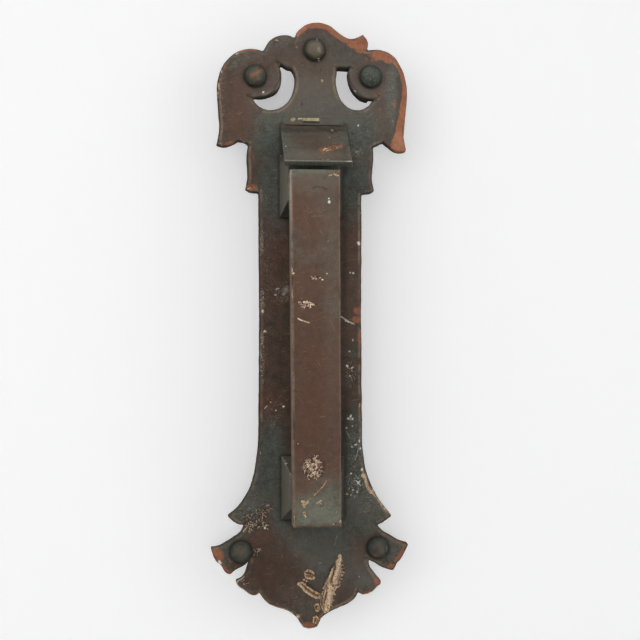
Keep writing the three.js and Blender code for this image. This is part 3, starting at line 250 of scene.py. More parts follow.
        ("s", [(17.6, -99.7), (19.3, -122.4)], 1.48, 0.9, 0.3), ("e", -12.2, 51.1, 1.71, 7.99, 0, 0.9, 0.5),
        # short strokes under the ears: painted shade along their lower edges
        ("s", [(35.5, 101.3), (40.1, 103.6), (42.4, 104.8)], 0.91, 0.6, 0.8), ("s", [(-53.5, 100.5), (-49.0, 99.4), (-44.5, 100.6)], 0.8, 0.6, 0.7),
        ("e", -40.0, 121.7, 1.71, 1.71, 0, 1.0, 0.05),
    ],
}
ARM_MARKS = {
    "verd": [
        ("e", -0.9, 84.0, 15.28, 1.86, 0, 0.5, 0.85), ("e", -10.7, 82.5, 4.37, 2.46, 0, 0.8, 0.6), ("e", 1.3, -100.1, 12.01, 8.19, 0, 0.8, 0.9),
        ("e", 7.9, -93.7, 7.64, 8.73, 0, 0.9, 0.6), ("e", 2.9, -100.1, 2.4, 1.64, 0, 0.7, 0.7), ("e", -6.3, -105.9, 5.46, 4.37, 0, 0.8, 0.85),
        ("e", 8.9, -104.5, 5.46, 4.91, 0, 0.8, 0.95), ("e", 0.2, -103.3, 9.83, 5.46, 0, 0.8, 0.95), ("e", -2.0, 73.4, 5.46, 2.18, 0, 1.0, 0.25),
        ("e", 7.9, 46.2, 4.37, 27.29, 0, 1.0, 0.22),
    ],
    "lift": [
        ("e", -0.4, 78.8, 14.19, 8.73, 0, 1.0, 0.85), ("e", 3.5, 70.7, 10.92, 14.19, 0, 1.0, 0.5), ("e", -6.4, 77.7, 7.64, 7.64, 0, 1.0, 0.35),
        ("e", 3.5, -101.7, 10.92, 7.1, 0, 0.8, 0.85), ("e", 9.5, 13.5, 4.91, 76.42, 0, 0.9, 0.45), ("e", -0.3, -100.1, 13.1, 7.64, 0, 0.9, 0.5),
        ("e", -3.1, 51.6, 13.1, 38.21, 0, 1.0, 0.25), ("e", 1.3, -84.3, 13.1, 7.64, 0, 1.0, 0.35),
    ],
    "red": [
        ("e", -6.9, 70.0, 4.37, 18.56, 0, 1.0, 0.5), ("e", -5.8, -11.0, 6.55, 16.38, 0, 1.0, 0.6), ("e", 1.3, -35.4, 13.1, 27.29, 0, 1.0, 0.75),
        ("e", -0.9, -57.2, 12.01, 14.19, 0, 1.0, 0.65), ("e", -3.1, 40.7, 4.37, 21.84, 0, 1.0, 0.4), ("e", 4.0, -95.8, 2.4, 2.95, 35, 0.7, 0.8),
        ("s", [(12.7, 20.1), (12.7, 11.9)], 0.87, 0.8, 0.8), ("e", 11.2, 62.6, 1.64, 14.19, 0, 1.0, 0.4), ("e", 9.5, 74.0, 4.37, 7.64, 0, 0.9, 0.45),
    ],
    "copper": [
        ("s", [(-10.7, -109.9), (-5.3, -110.1)], 0.66, 0.9, 0.45), ("s", [(-2.5, -110.0), (1.3, -110.0)], 0.66, 0.9, 0.4),
        ("s", [(4.0, -109.8), (8.9, -109.6)], 0.76, 0.9, 0.55), ("e", 12.2, -109.4, 1.09, 0.55, 0, 0.9, 0.4),
        ("e", -8.5, 30.9, 0.66, 1.64, 0, 0.7, 0.3), ("s", [(-12.6, 26.5), (-12.6, 21.1)], 0.44, 0.7, 0.4),
    ],
    "tan": [
        ("s", [(-2.9, 26.1), (0.2, 25.6)], 0.55, 0.8, 0.5), ("e", 3.6, 24.6, 0.66, 0.55, 0, 0.6, 0.7), ("e", 0.2, 31.5, 0.76, 0.98, 0, 0.9, 0.3),
        ("s", [(-9.6, 3.4), (-6.9, 2.3), (-3.6, 1.4)], 0.82, 0.6, 0.7), ("s", [(7.5, 81.5), (9.0, 81.9)], 0.6, 0.5, 0.95),
        ("s", [(10.1, 82.1), (12.5, 81.2)], 0.82, 0.5, 1.0), ("s", [(6.0, -85.0), (4.0, -87.6), (1.8, -90.1), (-0.6, -92.5)], 0.6, 0.5, 0.85),
        ("s", [(-2.0, -93.8), (-5.5, -96.4)], 0.55, 0.5, 0.9), ("s", [(-7.1, -97.8), (-4.2, -96.4)], 0.82, 0.5, 0.9),
        ("e", -6.7, -96.2, 1.42, 0.76, -30, 0.5, 0.9), ("e", -5.8, -98.3, 0.76, 1.09, 0, 0.5, 0.8), ("e", -6.3, -102.5, 0.87, 1.09, 0, 0.5, 0.85),
        ("e", -5.5, -103.9, 0.76, 0.66, 0, 0.5, 0.7), ("s", [(0.7, -96.7), (3.1, -95.5)], 0.93, 0.5, 0.9),
        ("e", -9.5, -64.5, 0.98, 0.87, 0, 0.8, 0.5), ("e", -13.0, 30.0, 0.76, 1.42, 0, 0.5, 0.9), ("e", -12.1, 28.0, 0.76, 0.66, 0, 0.5, 0.7),
        ("s", [(-12.2, -86.3), (-12.1, -89.0)], 0.6, 0.9, 0.5), ("s", [(-12.0, -92.3), (-11.9, -94.5)], 0.6, 0.9, 0.5),
        ("s", [(-11.7, -98.3), (-11.6, -100.4)], 0.55, 0.9, 0.45), ("s", [(-11.5, -103.7), (-11.4, -106.9)], 0.66, 0.9, 0.5),
        ("s", [(-14.1, 83.0), (-13.8, 73.2)], 0.76, 0.7, 0.7), ("s", [(-12.7, 18.9), (-12.5, 15.1)], 0.55, 0.7, 0.7),
        ("e", 13.8, -107.0, 0.76, 0.98, 0, 0.4, 1.0), ("s", [(-8.0, 14.2), (-6.4, 14.4)], 0.44, 0.6, 0.5),
        ("s", [(5.1, -108.7), (7.3, -108.6)], 0.49, 0.7, 0.5), ("s", [(8.9, -108.6), (11.7, -108.4)], 0.55, 0.7, 0.55),
    ],
    "curl": [
        ("c", -4.6, 11.1, 4.69, 1.86, 26, 1.04, 21, 1.0), ("c", 0.2, 25.5, 3.28, 0.98, 8, 0.76, 24, 0.85),
        ("c", -1.0, -77.6, 5.68, 5.9, 50, 1.15, 22, 1.0), ("c", 3.2, -97.4, 1.64, 1.64, 5, 0.55, 23, 0.6),
    ],
    "pale": [
        ("s", [(-9.4, 3.5), (-6.9, 2.4)], 0.55, 0.6, 0.75), ("e", 3.8, 24.5, 0.49, 0.44, 0, 0.6, 0.7), ("e", 7.3, 68.9, 0.49, 0.49, 0, 0.4, 0.8),
        ("e", 7.4, 67.0, 0.71, 0.87, 0, 0.4, 1.0), ("e", 6.2, 28.0, 0.55, 0.44, 0, 0.7, 0.6), ("e", 6.8, 45.7, 0.38, 0.38, 0, 0.6, 0.5),
        ("e", -10.7, 44.4, 0.33, 0.33, 0, 0.6, 0.3), ("e", 3.5, -100.1, 0.66, 0.44, 0, 1.0, 0.3), ("e", 0.2, -99.5, 0.44, 0.44, 0, 0.9, 0.25),
        ("e", 11.5, -101.9, 0.49, 0.49, 0, 0.6, 0.4), ("e", -6.9, 28.7, 0.33, 0.33, 0, 0.6, 0.3),
    ],
    "grime": [
        ("s", [(-12.3, -109.8), (13.3, -109.9)], 0.82, 0.5, 0.5), ("e", 0.2, -40.9, 14.19, 32.75, 0, 1.0, 0.16),
        ("s", [(-1.4, 74.2), (0.7, 75.1), (3.5, 75.1), (6.0, 73.7)], 0.82, 0.8, 0.55), ("s", [(-12.6, 26.5), (-12.5, 21.1)], 0.49, 0.5, 0.8),
        ("s", [(-11.8, -47.3), (-11.6, -62.5)], 0.55, 0.6, 0.7), ("s", [(13.1, 19.0), (13.1, 13.5)], 0.49, 0.5, 0.8),
        ("s", [(13.2, -61.1), (13.1, -69.3)], 0.49, 0.5, 0.6), ("s", [(-6.9, -1.5), (-4.7, -3.9)], 0.6, 0.9, 0.3),
        ("s", [(-6.9, -14.8), (-3.6, -18.0)], 0.66, 0.9, 0.3),
    ],
}
HOOD_MARKS = {
    "verd": [
        ("e", -15.5, 99.0, 3.87, 12.17, 0, 0.8, 0.9), ("e", -7.8, 90.8, 8.85, 1.66, 0, 0.9, 0.5), ("e", 17.7, 104.4, 3.87, 7.74, 0, 0.8, 0.7),
        ("e", -1.2, 109.1, 16.59, 1.88, 0, 0.8, 0.4), ("e", 11.1, 104.3, 5.53, 4.42, 0, 0.9, 0.5), ("e", 20.5, 95.6, 2.21, 6.64, 0, 0.8, 0.7),
        ("e", -10.0, 96.3, 5.53, 4.42, 0, 1.0, 0.5),
    ],
    "lift": [
        ("e", -0.0, 93.1, 17.7, 3.59, 0, 0.8, 1.0), ("e", 2.2, 102.0, 16.59, 7.74, 0, 1.0, 0.25), ("e", 11.1, 97.9, 4.98, 2.21, 15, 0.9, 0.55),
    ],
    "red": [
        ("e", -5.6, 97.5, 6.64, 5.53, 0, 0.9, 0.45), ("e", 4.4, 103.1, 11.06, 4.42, 0, 1.0, 0.5), ("e", -1.2, 93.1, 11.06, 2.77, 0, 1.0, 0.35),
    ],
    "copper": [
        ("s", [(4.4, 96.1), (7.2, 96.9), (9.4, 97.3)], 2.99, 0.9, 0.84), ("s", [(8.8, 97.8), (12.2, 98.7), (15.5, 99.7)], 2.32, 0.9, 1.0),
        ("s", [(10.5, 96.9), (13.3, 97.6)], 1.11, 1.0, 0.5),
    ],
    "tan": [
        ("s", [(1.1, 90.3), (8.8, 90.4)], 0.5, 0.8, 0.5), ("s", [(5.2, 96.7), (7.5, 97.8)], 1.33, 1.0, 0.6),
        ("s", [(6.6, 96.0), (9.2, 96.7)], 1.05, 1.0, 0.58), ("e", 11.1, 98.1, 1.22, 0.55, 14, 1.0, 0.56),
        ("s", [(11.1, 105.4), (12.7, 104.4)], 0.66, 0.8, 0.35),
    ],
    "pale": [
        ("e", 9.8, 105.1, 0.66, 0.55, 0, 0.8, 0.4), ("e", 12.9, 98.1, 0.77, 0.39, 20, 0.8, 0.45), ("e", -15.3, 98.7, 0.66, 0.5, 0, 0.8, 0.5),
        ("e", 11.9, 110.4, 1.11, 0.88, 0, 0.9, 0.45),
    ],
    "grime": [
        # the long dark stroke is painted shade along the top of the hood, where it turns in to the plate
        ("s", [(-17.7, 110.2), (-7.8, 109.9), (8.8, 110.4), (17.7, 110.8)], 2.77, 1.0, 0.62),
    ],
}
# <<< wear marks and painted shade

# ---------------------------------------------------------------- noise and masks

TABLE = np.random.default_rng(20).random(65536)


def value_noise(p, size, seed=0):
    """Smooth noise from 0 to 1 at the points p, with features about size mm across."""
    q = p / size + 31.7 * (seed + 1)
    i = np.floor(q).astype(np.int64)
    f = q - i
    f = f * f * (3 - 2 * f)
    out = np.zeros(len(p))
    for dx in (0, 1):
        wx = f[:, 0] if dx else 1 - f[:, 0]
        for dy in (0, 1):
            wy = f[:, 1] if dy else 1 - f[:, 1]
            for dz in (0, 1):
                wz = f[:, 2] if dz else 1 - f[:, 2]
                h = ((i[:, 0] + dx) * 73856093) ^ ((i[:, 1] + dy) * 19349663) ^ ((i[:, 2] + dz) * 83492791) ^ (seed * 40503 + 977)
                h = (h ^ (h >> 13)) * 1274126177
                out += TABLE[(h ^ (h >> 16)) & 65535] * wx * wy * wz
    return out


def fractal(p, size, seed=0, octaves=3):
    """Several octaves of noise, from 0 to 1."""
    total, weight, share = np.zeros(len(p)), 0.0, 1.0
    for k in range(octaves):
        total += share * value_noise(p, size / 2**k, seed + 7 * k)
        weight += share
        share *= 0.55
    return np.clip((total / weight - 0.5) * 1.5 + 0.5, 0, 1)


def cells(p2, size, seed=0):
    """Distance to the nearest jittered cell centre and a number per cell, on a 2-D field: the marks of a planishing hammer."""
    q = p2 / size + 11.3 * (seed + 1)
    i = np.floor(q).astype(np.int64)
    best, tag = np.full(len(p2), 9.0), np.zeros(len(p2))
    for dx in (-1, 0, 1):
        for dy in (-1, 0, 1):
            c = i + (dx, dy)
            h = (c[:, 0] * 73856093) ^ (c[:, 1] * 19349663) ^ (seed * 9176 + 31)
            h = (h ^ (h >> 13)) * 1274126177
            jx, jy, t = TABLE[h & 65535], TABLE[(h >> 7) & 65535], TABLE[(h >> 14) & 65535]
            d = np.hypot(c[:, 0] + jx - q[:, 0], c[:, 1] + jy - q[:, 1])
            near = d < best
            best[near], tag[near] = d[near], t[near]
    return best * size, tag


def step(a, b, x):
    t = np.clip((x - a) / (b - a), 0, 1)
    return t * t * (3 - 2 * t)


def polyline_distance(p2, pts):
    best = np.full(len(p2), 1e9)
    for (ax, ay), (bx, by) in zip(pts[:-1], pts[1:]):
        d = np.array([bx - ax, by - ay])
        t = np.clip(((p2 - (ax, ay)) @ d) / max(d @ d, 1e-9), 0, 1)
        best = np.minimum(best, np.hypot(p2[:, 0] - ax - t * d[0], p2[:, 1] - ay - t * d[1]))
    return best


def curls(x, z, rx, rz, count, size, seed):
    """Short bent scratches filling an ellipse, as lists of points."""
    rng = np.random.default_rng(seed)
    out = []
    while len(out) < count:
        u, v = rng.uniform(-1, 1, 2)
        if u * u + v * v > 1:
            continue
        a, bend, reach = rng.uniform(0, 2 * math.pi), rng.uniform(-1.2, 1.2), size * rng.uniform(0.7, 2.1)
        pts = [(x + u * rx, z + v * rz)]
        for _ in range(3):
            pts.append((pts[-1][0] + math.cos(a) * reach / 3, pts[-1][1] + math.sin(a) * reach / 3))
            a += bend
        out.append((pts, rng.uniform(0.30, 0.52), rng.uniform(0.55, 1.0)))
    return out


def marks(p2, warp, rows):
    """How strongly each point carries one kind of mark, 0 to 1."""
    out = np.zeros(len(p2))

    def add(idx, m):
        out[idx] = np.maximum(out[idx], m)

    for r in rows:
        if r[0] == "e":
            _, x, z, rx, rz, ang, soft, strength = r
            reach = max(rx, rz) * (1 + soft) + 2.0
            idx = np.nonzero((abs(p2[:, 0] - x) < reach) & (abs(p2[:, 1] - z) < reach))[0]
            if not len(idx):
                continue
            amount = min(1.0, 0.22 * min(rx, rz))
            d = p2[idx] + warp[idx] * amount - (x, z)
            c, s = math.cos(math.radians(ang)), math.sin(math.radians(ang))
            u, v = (d[:, 0] * c + d[:, 1] * s) / rx, (-d[:, 0] * s + d[:, 1] * c) / rz
            add(idx, strength * (1 - step(1 - soft, 1 + soft, np.hypot(u, v))))
        elif r[0] == "s":
            _, pts, width, soft, strength = r
            xs, zs = [q[0] for q in pts], [q[1] for q in pts]
            reach = width * (1 + soft) + 1.2
            idx = np.nonzero((p2[:, 0] > min(xs) - reach) & (p2[:, 0] < max(xs) + reach) & (p2[:, 1] > min(zs) - reach) & (p2[:, 1] < max(zs) + reach))[0]
            if not len(idx):
                continue
            d = polyline_distance(p2[idx] + warp[idx] * min(1.0, 0.28 * width), pts) / (width / 2)
            add(idx, strength * (1 - step(1 - soft, 1 + soft, d)))
        else:
            _, x, z, rx, rz, count, size, seed, strength = r
            for pts, width, s in curls(x, z, rx, rz, count, size, seed):
                idx = np.nonzero((abs(p2[:, 0] - pts[0][0]) < 4 * size) & (abs(p2[:, 1] - pts[0][1]) < 4 * size))[0]
                if len(idx):
                    d = polyline_distance(p2[idx], pts) / (width / 2)
                    add(idx, strength * s * (1 - step(0.5, 1.6, d)))
    return out


# ---------------------------------------------------------------- mesh helpers


def refined(node, voxel):
    """A finely and evenly meshed copy of a CAD node."""
    ob = bpy.data.objects.new("working", NODES[node].data.copy())
    bpy.context.scene.collection.objects.link(ob)
    m = ob.modifiers.new("fine", "REMESH")
    m.mode = "VOXEL"
    m.voxel_size = voxel * MM * 1.0
    m.adaptivity = 0.0
    bpy.context.view_layer.update()
    dg = bpy.context.evaluated_depsgraph_get()
    mesh = bpy.data.meshes.new_from_object(ob.evaluated_get(dg), depsgraph=dg)
    bpy.data.objects.remove(ob)
    mesh.materials.clear()
    return mesh


def densify(mesh, front, areas):
    """Cuts the front of a mesh finer inside boxes (x, z, half width, half height, cuts), where small marks lie."""
    bm = bmesh.new()
    bm.from_mesh(mesh)
    for x, z, rx, rz, cuts in areas:
        near = {v for v in bm.verts if v.co.y < (front + 0.35) * MM and abs(v.co.x / MM - x) < rx and abs(v.co.z / MM - z) < rz}
        edges = [e for e in bm.edges if e.verts[0] in near and e.verts[1] in near]
        bmesh.ops.subdivide_edges(bm, edges=edges, cuts=cuts, use_grid_fill=True)
    bm.to_mesh(mesh)
    bm.free()


def points(mesh):
    co = np.empty(len(mesh.vertices) * 3, np.float32)
    mesh.vertices.foreach_get("co", co)
    return co.reshape(-1, 3).astype(float) / MM


def put(mesh, p):
    mesh.vertices.foreach_set("co", (p * MM).astype(np.float32).ravel())
    mesh.update()


def normals(mesh):
    n = np.empty(len(mesh.vertices) * 3, np.float32)
    mesh.vertices.foreach_get("normal", n)
    return n.reshape(-1, 3).astype(float)


def edge_list(mesh):
    e = np.empty(len(mesh.edges) * 2, np.int32)
    mesh.edges.foreach_get("vertices", e)
    return e.reshape(-1, 2)


def spread(v, e, rounds, share=0.5):
    """Averages a value, or a vector, with its neighbours' values, a few times."""
    n = len(v)
    deg = np.maximum(np.bincount(e[:, 0], minlength=n) + np.bincount(e[:, 1], minlength=n), 1)
    cols = v.reshape(n, -1).copy()
    for _ in range(rounds):
        for k in range(cols.shape[1]):
            c = cols[:, k]
            s = np.bincount(e[:, 0], c[e[:, 1]], n) + np.bincount(e[:, 1], c[e[:, 0]], n)
            cols[:, k] = (1 - share) * c + share * s / deg
    return cols.reshape(v.shape)


def convexity(mesh, p, e, rounds=3):
    """Above 0 on edges and corners that stand out, below 0 in hollows."""
    n = normals(mesh)
    d = p[e[:, 1]] - p[e[:, 0]]
    d /= np.maximum(np.linalg.norm(d, axis=1, keepdims=True), 1e-9)
    a, b = -(n[e[:, 0]] * d).sum(1), (n[e[:, 1]] * d).sum(1)
    s = np.bincount(e[:, 0], a, len(p)) + np.bincount(e[:, 1], b, len(p))
    deg = np.maximum(np.bincount(e[:, 0], minlength=len(p)) + np.bincount(e[:, 1], minlength=len(p)), 1)
    return spread(s / deg, e, rounds)


def paint(mesh, **layers):
    for name, v in layers.items():
        a = mesh.attributes.new(name, "FLOAT", "POINT")
        a.data.foreach_set("value", np.clip(v, 0, 1).astype(np.float32))


def settle(mesh, name, node, material):
    """Makes the finished mesh a piece that stands for its CAD node."""
    mesh.name = name
    mesh.polygons.foreach_set("use_smooth", np.ones(len(mesh.polygons), bool))
    mesh.materials.append(material)
    mesh.update()
    ob = bpy.data.objects.new(name, mesh)
    bpy.context.scene.collection.objects.link(ob)
    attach(ob, BODY_OF[node])
    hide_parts(node)
    return ob


def scribbled(p2, warp, rows):
    """Where the groups of curled scratches lie, as soft patches."""
    return marks(p2, warp, [("e", r[1], r[2], r[3] * 1.05, r[4] * 1.05, 0, 0.55, r[8]) for r in rows if r[0] == "c"])


def warp_field(p, seed):
    """Two noise offsets that make the edge of a mark ragged."""
    a = value_noise(p, 2.6, seed) - 0.5 + 0.6 * (value_noise(p, 0.9, seed + 1) - 0.5)
    b = value_noise(p, 2.6, seed + 2) - 0.5 + 0.6 * (value_noise(p, 0.9, seed + 3) - 0.5)
    return np.stack([a, b], 1) * 2.0


# ---------------------------------------------------------------- materials


def lin(r, g, b):
    def f(c):
        c /= 255
        return c / 12.92 if c <= 0.04045 else ((c + 0.055) / 1.055) ** 2.4
    return (f(r), f(g), f(b), 1.0)


class Tree:
    """Short names for building one material's nodes."""

    def __init__(self, name):
        self.mat = bpy.data.materials.new(name)
        self.mat.use_nodes = True
        self.nt = self.mat.node_tree
        self.nt.nodes.clear()
        self.out = self.nt.nodes.new("ShaderNodeOutputMaterial")
        self.bsdf = self.nt.nodes.new("ShaderNodeBsdfPrincipled")
        self.nt.links.new(self.bsdf.outputs[0], self.out.inputs[0])
        self.coord = self.nt.nodes.new("ShaderNodeTexCoord").outputs["Object"]

    def feed(self, socket, v):
        if isinstance(v, bpy.types.NodeSocket):
            self.nt.links.new(v, socket)
        elif v is not None:
            socket.default_value = v

    def attr(self, name):
        n = self.nt.nodes.new("ShaderNodeAttribute")
        n.attribute_name = name
        return n.outputs["Fac"]

    def math(self, op, a, b=0.5, c=None, clamp=False):
        n = self.nt.nodes.new("ShaderNodeMath")
        n.operation = op
        n.use_clamp = clamp
        self.feed(n.inputs[0], a)
        self.feed(n.inputs[1], b)
        self.feed(n.inputs[2], c)
        return n.outputs[0]

    def ramp(self, v, a, b, lo=0.0, hi=1.0):
        n = self.nt.nodes.new("ShaderNodeMapRange")
        n.interpolation_type = "SMOOTHSTEP"
        self.feed(n.inputs["Value"], v)
        for k, x in (("From Min", a), ("From Max", b), ("To Min", lo), ("To Max", hi)):
            self.feed(n.inputs[k], x)
        return n.outputs[0]

    def noise(self, size_mm, detail=3.0, rough=0.55, stretch=None, distort=0.0, turn=0.0):
        n = self.nt.nodes.new("ShaderNodeTexNoise")
        n.inputs["Scale"].default_value = 1000.0 / size_mm
        n.inputs["Detail"].default_value = detail
        n.inputs["Roughness"].default_value = rough
        n.inputs["Distortion"].default_value = distort
        v = self.coord
        if stretch:
            if turn:
                r = self.nt.nodes.new("ShaderNodeVectorRotate")
                r.rotation_type = "Y_AXIS"
                r.inputs["Angle"].default_value = turn
                self.nt.links.new(v, r.inputs["Vector"])
                v = r.outputs[0]
            m = self.nt.nodes.new("ShaderNodeMapping")
            m.inputs["Scale"].default_value = stretch
            self.nt.links.new(v, m.inputs["Vector"])
            v = m.outputs[0]
        self.nt.links.new(v, n.inputs["Vector"])
        return n.outputs["Fac"]

    def mix(self, fac, a, b, blend="MIX"):
        n = self.nt.nodes.new("ShaderNodeMix")
        n.data_type = "RGBA"
        n.blend_type = blend
        self.feed(n.inputs[0], fac)
        self.feed(n.inputs[6], a)
        self.feed(n.inputs[7], b)
        return n.outputs[2]

    def bump(self, height, distance_mm, normal=None):
        n = self.nt.nodes.new("ShaderNodeBump")
        n.inputs["Strength"].default_value = 1.0
        n.inputs["Distance"].default_value = distance_mm * MM
        self.feed(n.inputs["Height"], height)
        if normal is not None:
            self.nt.links.new(normal, n.inputs["Normal"])
        return n.outputs[0]


def patina(name, dark, brown, red, lift, verd, verd_light, worn, grain=1.0, metal=0.30, rough=0.52):
    """Old bronze: brown skin, green-grey film, rubbed edges and painted highlights, copper rubbed through, scrapes down
    to bright metal, pale specks, dirt and painted shade.
    """
    t = Tree(name)
    big, mid, fine = t.noise(14, 3), t.noise(3.6, 4, 0.6), t.noise(0.9, 3, 0.6)
    speck = t.noise(0.55, 2, 0.6)
    streak = t.noise(4.0, 3, 0.6, stretch=(1.0, 1.0, 6.0))
    c = t.mix(t.ramp(mid, 0.30, 0.70), dark, brown)
    c = t.mix(t.math("MULTIPLY", t.ramp(big, 0.40, 0.66), 0.35), c, red)
    c = t.mix(t.math("MULTIPLY", t.ramp(streak, 0.42, 0.72), 0.22), c, dark)
    c = t.mix(t.math("MULTIPLY", t.attr("red"), t.ramp(mid, 0.25, 0.65, 0.45, 1.0)), c, red)
    up = t.attr("lift")
    c = t.mix(t.math("MULTIPLY", up, t.ramp(mid, 0.25, 0.75, 0.7, 1.0)), c, lift)
    film = t.math("MULTIPLY", t.attr("verd"), t.ramp(t.math("ADD", mid, t.math("MULTIPLY", fine, 0.4)), 0.45, 0.78, 0.62, 1.0), clamp=True)
    green = t.mix(t.ramp(t.math("ADD", t.math("MULTIPLY", fine, 0.5), t.math("MULTIPLY", mid, 0.5)), 0.25, 0.75), verd, verd_light)
    green = t.mix(t.math("MULTIPLY", up, 0.75), green, t.mix(0.5, verd_light, lift))
    c = t.mix(film, c, green)
    c = t.mix(t.math("MULTIPLY", t.ramp(speck, 0.60, 0.76), 0.42 * grain), c, worn)
    c = t.mix(t.math("MULTIPLY", t.ramp(speck, 0.42, 0.24), 0.45 * grain), c, dark)
    nick = t.math("MAXIMUM", t.ramp(t.noise(0.9, 2, 0.5, stretch=(0.16, 1.0, 1.0), turn=0.25), 0.64, 0.72), t.ramp(t.noise(0.9, 2, 0.5, stretch=(1.0, 1.0, 0.14), turn=0.5), 0.66, 0.74))
    c = t.mix(t.math("MULTIPLY", nick, t.ramp(big, 0.35, 0.65, 0.10 * grain, 0.38 * grain)), c, worn)
    # the wear layer: rubbed edges, and painted highlights along arrises and on side faces that catch the light
    edge = t.math("MULTIPLY", t.attr("worn"), t.ramp(t.math("ADD", t.math("MULTIPLY", mid, 0.7), t.math("MULTIPLY", fine, 0.5)), 0.34, 0.66), clamp=True)
    c = t.mix(edge, c, worn)
    cloud = t.noise(2.0, 3, 0.65)
    cop = t.math("ADD", t.attr("copper"), t.math("ADD", t.math("MULTIPLY", t.math("SUBTRACT", fine, 0.5), 0.55), t.math("MULTIPLY", t.math("SUBTRACT", cloud, 0.5), 0.55)))
    cop = t.ramp(cop, 0.14, 0.90)
    copper = t.mix(t.ramp(mid, 0.3, 0.7), lin(134, 84, 63), lin(162, 102, 76))
    copper = t.mix(t.math("MULTIPLY", up, 0.75), copper, lin(196, 136, 100))
    copper = t.mix(t.math("MULTIPLY", t.ramp(cloud, 0.54, 0.66), 0.42), copper, lin(108, 70, 52))
    copper = t.mix(t.math("MULTIPLY", t.ramp(t.noise(1.0, 2, 0.6, stretch=(1.0, 1.0, 0.30)), 0.50, 0.70), 0.26), copper, lin(198, 140, 108))
    copper = t.mix(t.math("MULTIPLY", t.ramp(t.noise(1.3, 2, 0.6, stretch=(1.0, 1.0, 0.35)), 0.45, 0.7), 0.30), copper, lin(118, 84, 64))
    c = t.mix(t.math("MULTIPLY", cop, 0.94), c, copper)
    # scrapes: grain along the stroke, ragged sides with small cross ticks, and painted shade round them for the shadow
    # of their cut edges; the scrape layer also holds a painted rim highlight along the plate's lower edges
    hair = t.noise(1.25, 2, 0.6, stretch=(1.0, 1.0, 0.14), turn=-0.28)
    comb = t.noise(1.3, 2, 0.6, stretch=(0.20, 1.0, 1.0), turn=-0.28)
    cut = t.math("ADD", t.attr("tan"), t.math("MULTIPLY", t.math("SUBTRACT", fine, 0.5), 0.35))
    cut = t.math("ADD", cut, t.math("MULTIPLY", t.math("SUBTRACT", comb, 0.5), 0.55))
    scr = t.ramp(cut, 0.36, 0.56)
    tan = t.mix(t.ramp(speck, 0.35, 0.60), lin(178, 146, 112), lin(244, 218, 188))
    ochre = t.mix(t.ramp(fine, 0.35, 0.62), lin(126, 94, 62), lin(192, 156, 116))
    tan = t.mix(t.math("MULTIPLY", t.ramp(t.attr("tan"), 0.97, 0.84), t.ramp(t.attr("tan"), 0.66, 0.76)), tan, ochre)
    tan = t.mix(t.math("MULTIPLY", t.ramp(hair, 0.50, 0.58), 0.45), tan, lin(70, 48, 31))
    tan = t.mix(t.math("MULTIPLY", t.ramp(t.noise(1.4, 3, 0.7), 0.56, 0.66), 0.45), tan, lin(84, 60, 42))
    c = t.mix(t.math("MULTIPLY", t.math("MULTIPLY", t.ramp(t.attr("tan"), 0.10, 0.34), t.math("SUBTRACT", 1.0, scr)), 0.55), c, lin(40, 32, 25))
    c = t.mix(scr, c, tan)
    web = t.nt.nodes.new("ShaderNodeTexVoronoi")
    web.feature = "DISTANCE_TO_EDGE"
    web.inputs["Scale"].default_value = 1000.0 / 1.8
    bent = t.nt.nodes.new("ShaderNodeVectorMath")
    bent.operation = "ADD"
    t.nt.links.new(t.coord, bent.inputs[0])
    shift = t.nt.nodes.new("ShaderNodeTexNoise")
    shift.inputs["Scale"].default_value = 900.0
    t.nt.links.new(t.coord, shift.inputs["Vector"])
    small = t.nt.nodes.new("ShaderNodeVectorMath")
    small.operation = "SCALE"
    small.inputs["Scale"].default_value = 0.0011
    t.nt.links.new(shift.outputs["Color"], small.inputs[0])
    t.nt.links.new(small.outputs[0], bent.inputs[1])
    t.nt.links.new(bent.outputs[0], web.inputs["Vector"])
    line = t.math("MULTIPLY", t.ramp(web.outputs["Distance"], 0.12, 0.05), t.ramp(t.math("ADD", t.noise(1.5, 2, 0.6), t.math("MULTIPLY", t.attr("scrib"), 0.30)), 0.68, 0.78))
    scrib = t.math("MULTIPLY", t.math("MULTIPLY", line, 0.55), t.ramp(t.attr("scrib"), 0.12, 0.40))
    curl = t.math("MAXIMUM", t.ramp(t.attr("curl"), 0.30, 0.72), scrib)
    # painted shade round the groups of curled scratches
    c = t.mix(t.math("MULTIPLY", t.ramp(t.attr("scrib"), 0.2, 0.6), 0.48), c, lin(52, 36, 28))
    c = t.mix(curl, c, t.mix(t.ramp(speck, 0.36, 0.60), lin(158, 116, 90), lin(250, 226, 196)))
    # pale specks; the pale layer also carries painted highlights and painted light on side faces
    pal = t.ramp(t.math("ADD", t.attr("pale"), t.math("MULTIPLY", t.math("SUBTRACT", fine, 0.5), 0.3)), 0.16, 0.78)
    c = t.mix(pal, c, lin(224, 223, 214))
    c = t.mix(t.math("MULTIPLY", t.attr("gold"), t.ramp(fine, 0.2, 0.6, 0.7, 1.0)), c, t.mix(t.ramp(mid, 0.3, 0.7), lin(150, 134, 98), lin(196, 184, 150)))
    drops = t.math("MAXIMUM", t.ramp(t.noise(0.62, 1, 0.5), 0.58, 0.66), t.math("MULTIPLY", t.ramp(t.noise(1.7, 2, 0.6), 0.50, 0.64), 0.20))
    spat = t.math("MULTIPLY", drops, t.attr("spat"), clamp=True)
    c = t.mix(spat, c, t.mix(t.ramp(t.noise(2.6, 1, 0.5), 0.46, 0.60), lin(184, 184, 174), lin(178, 152, 118)))
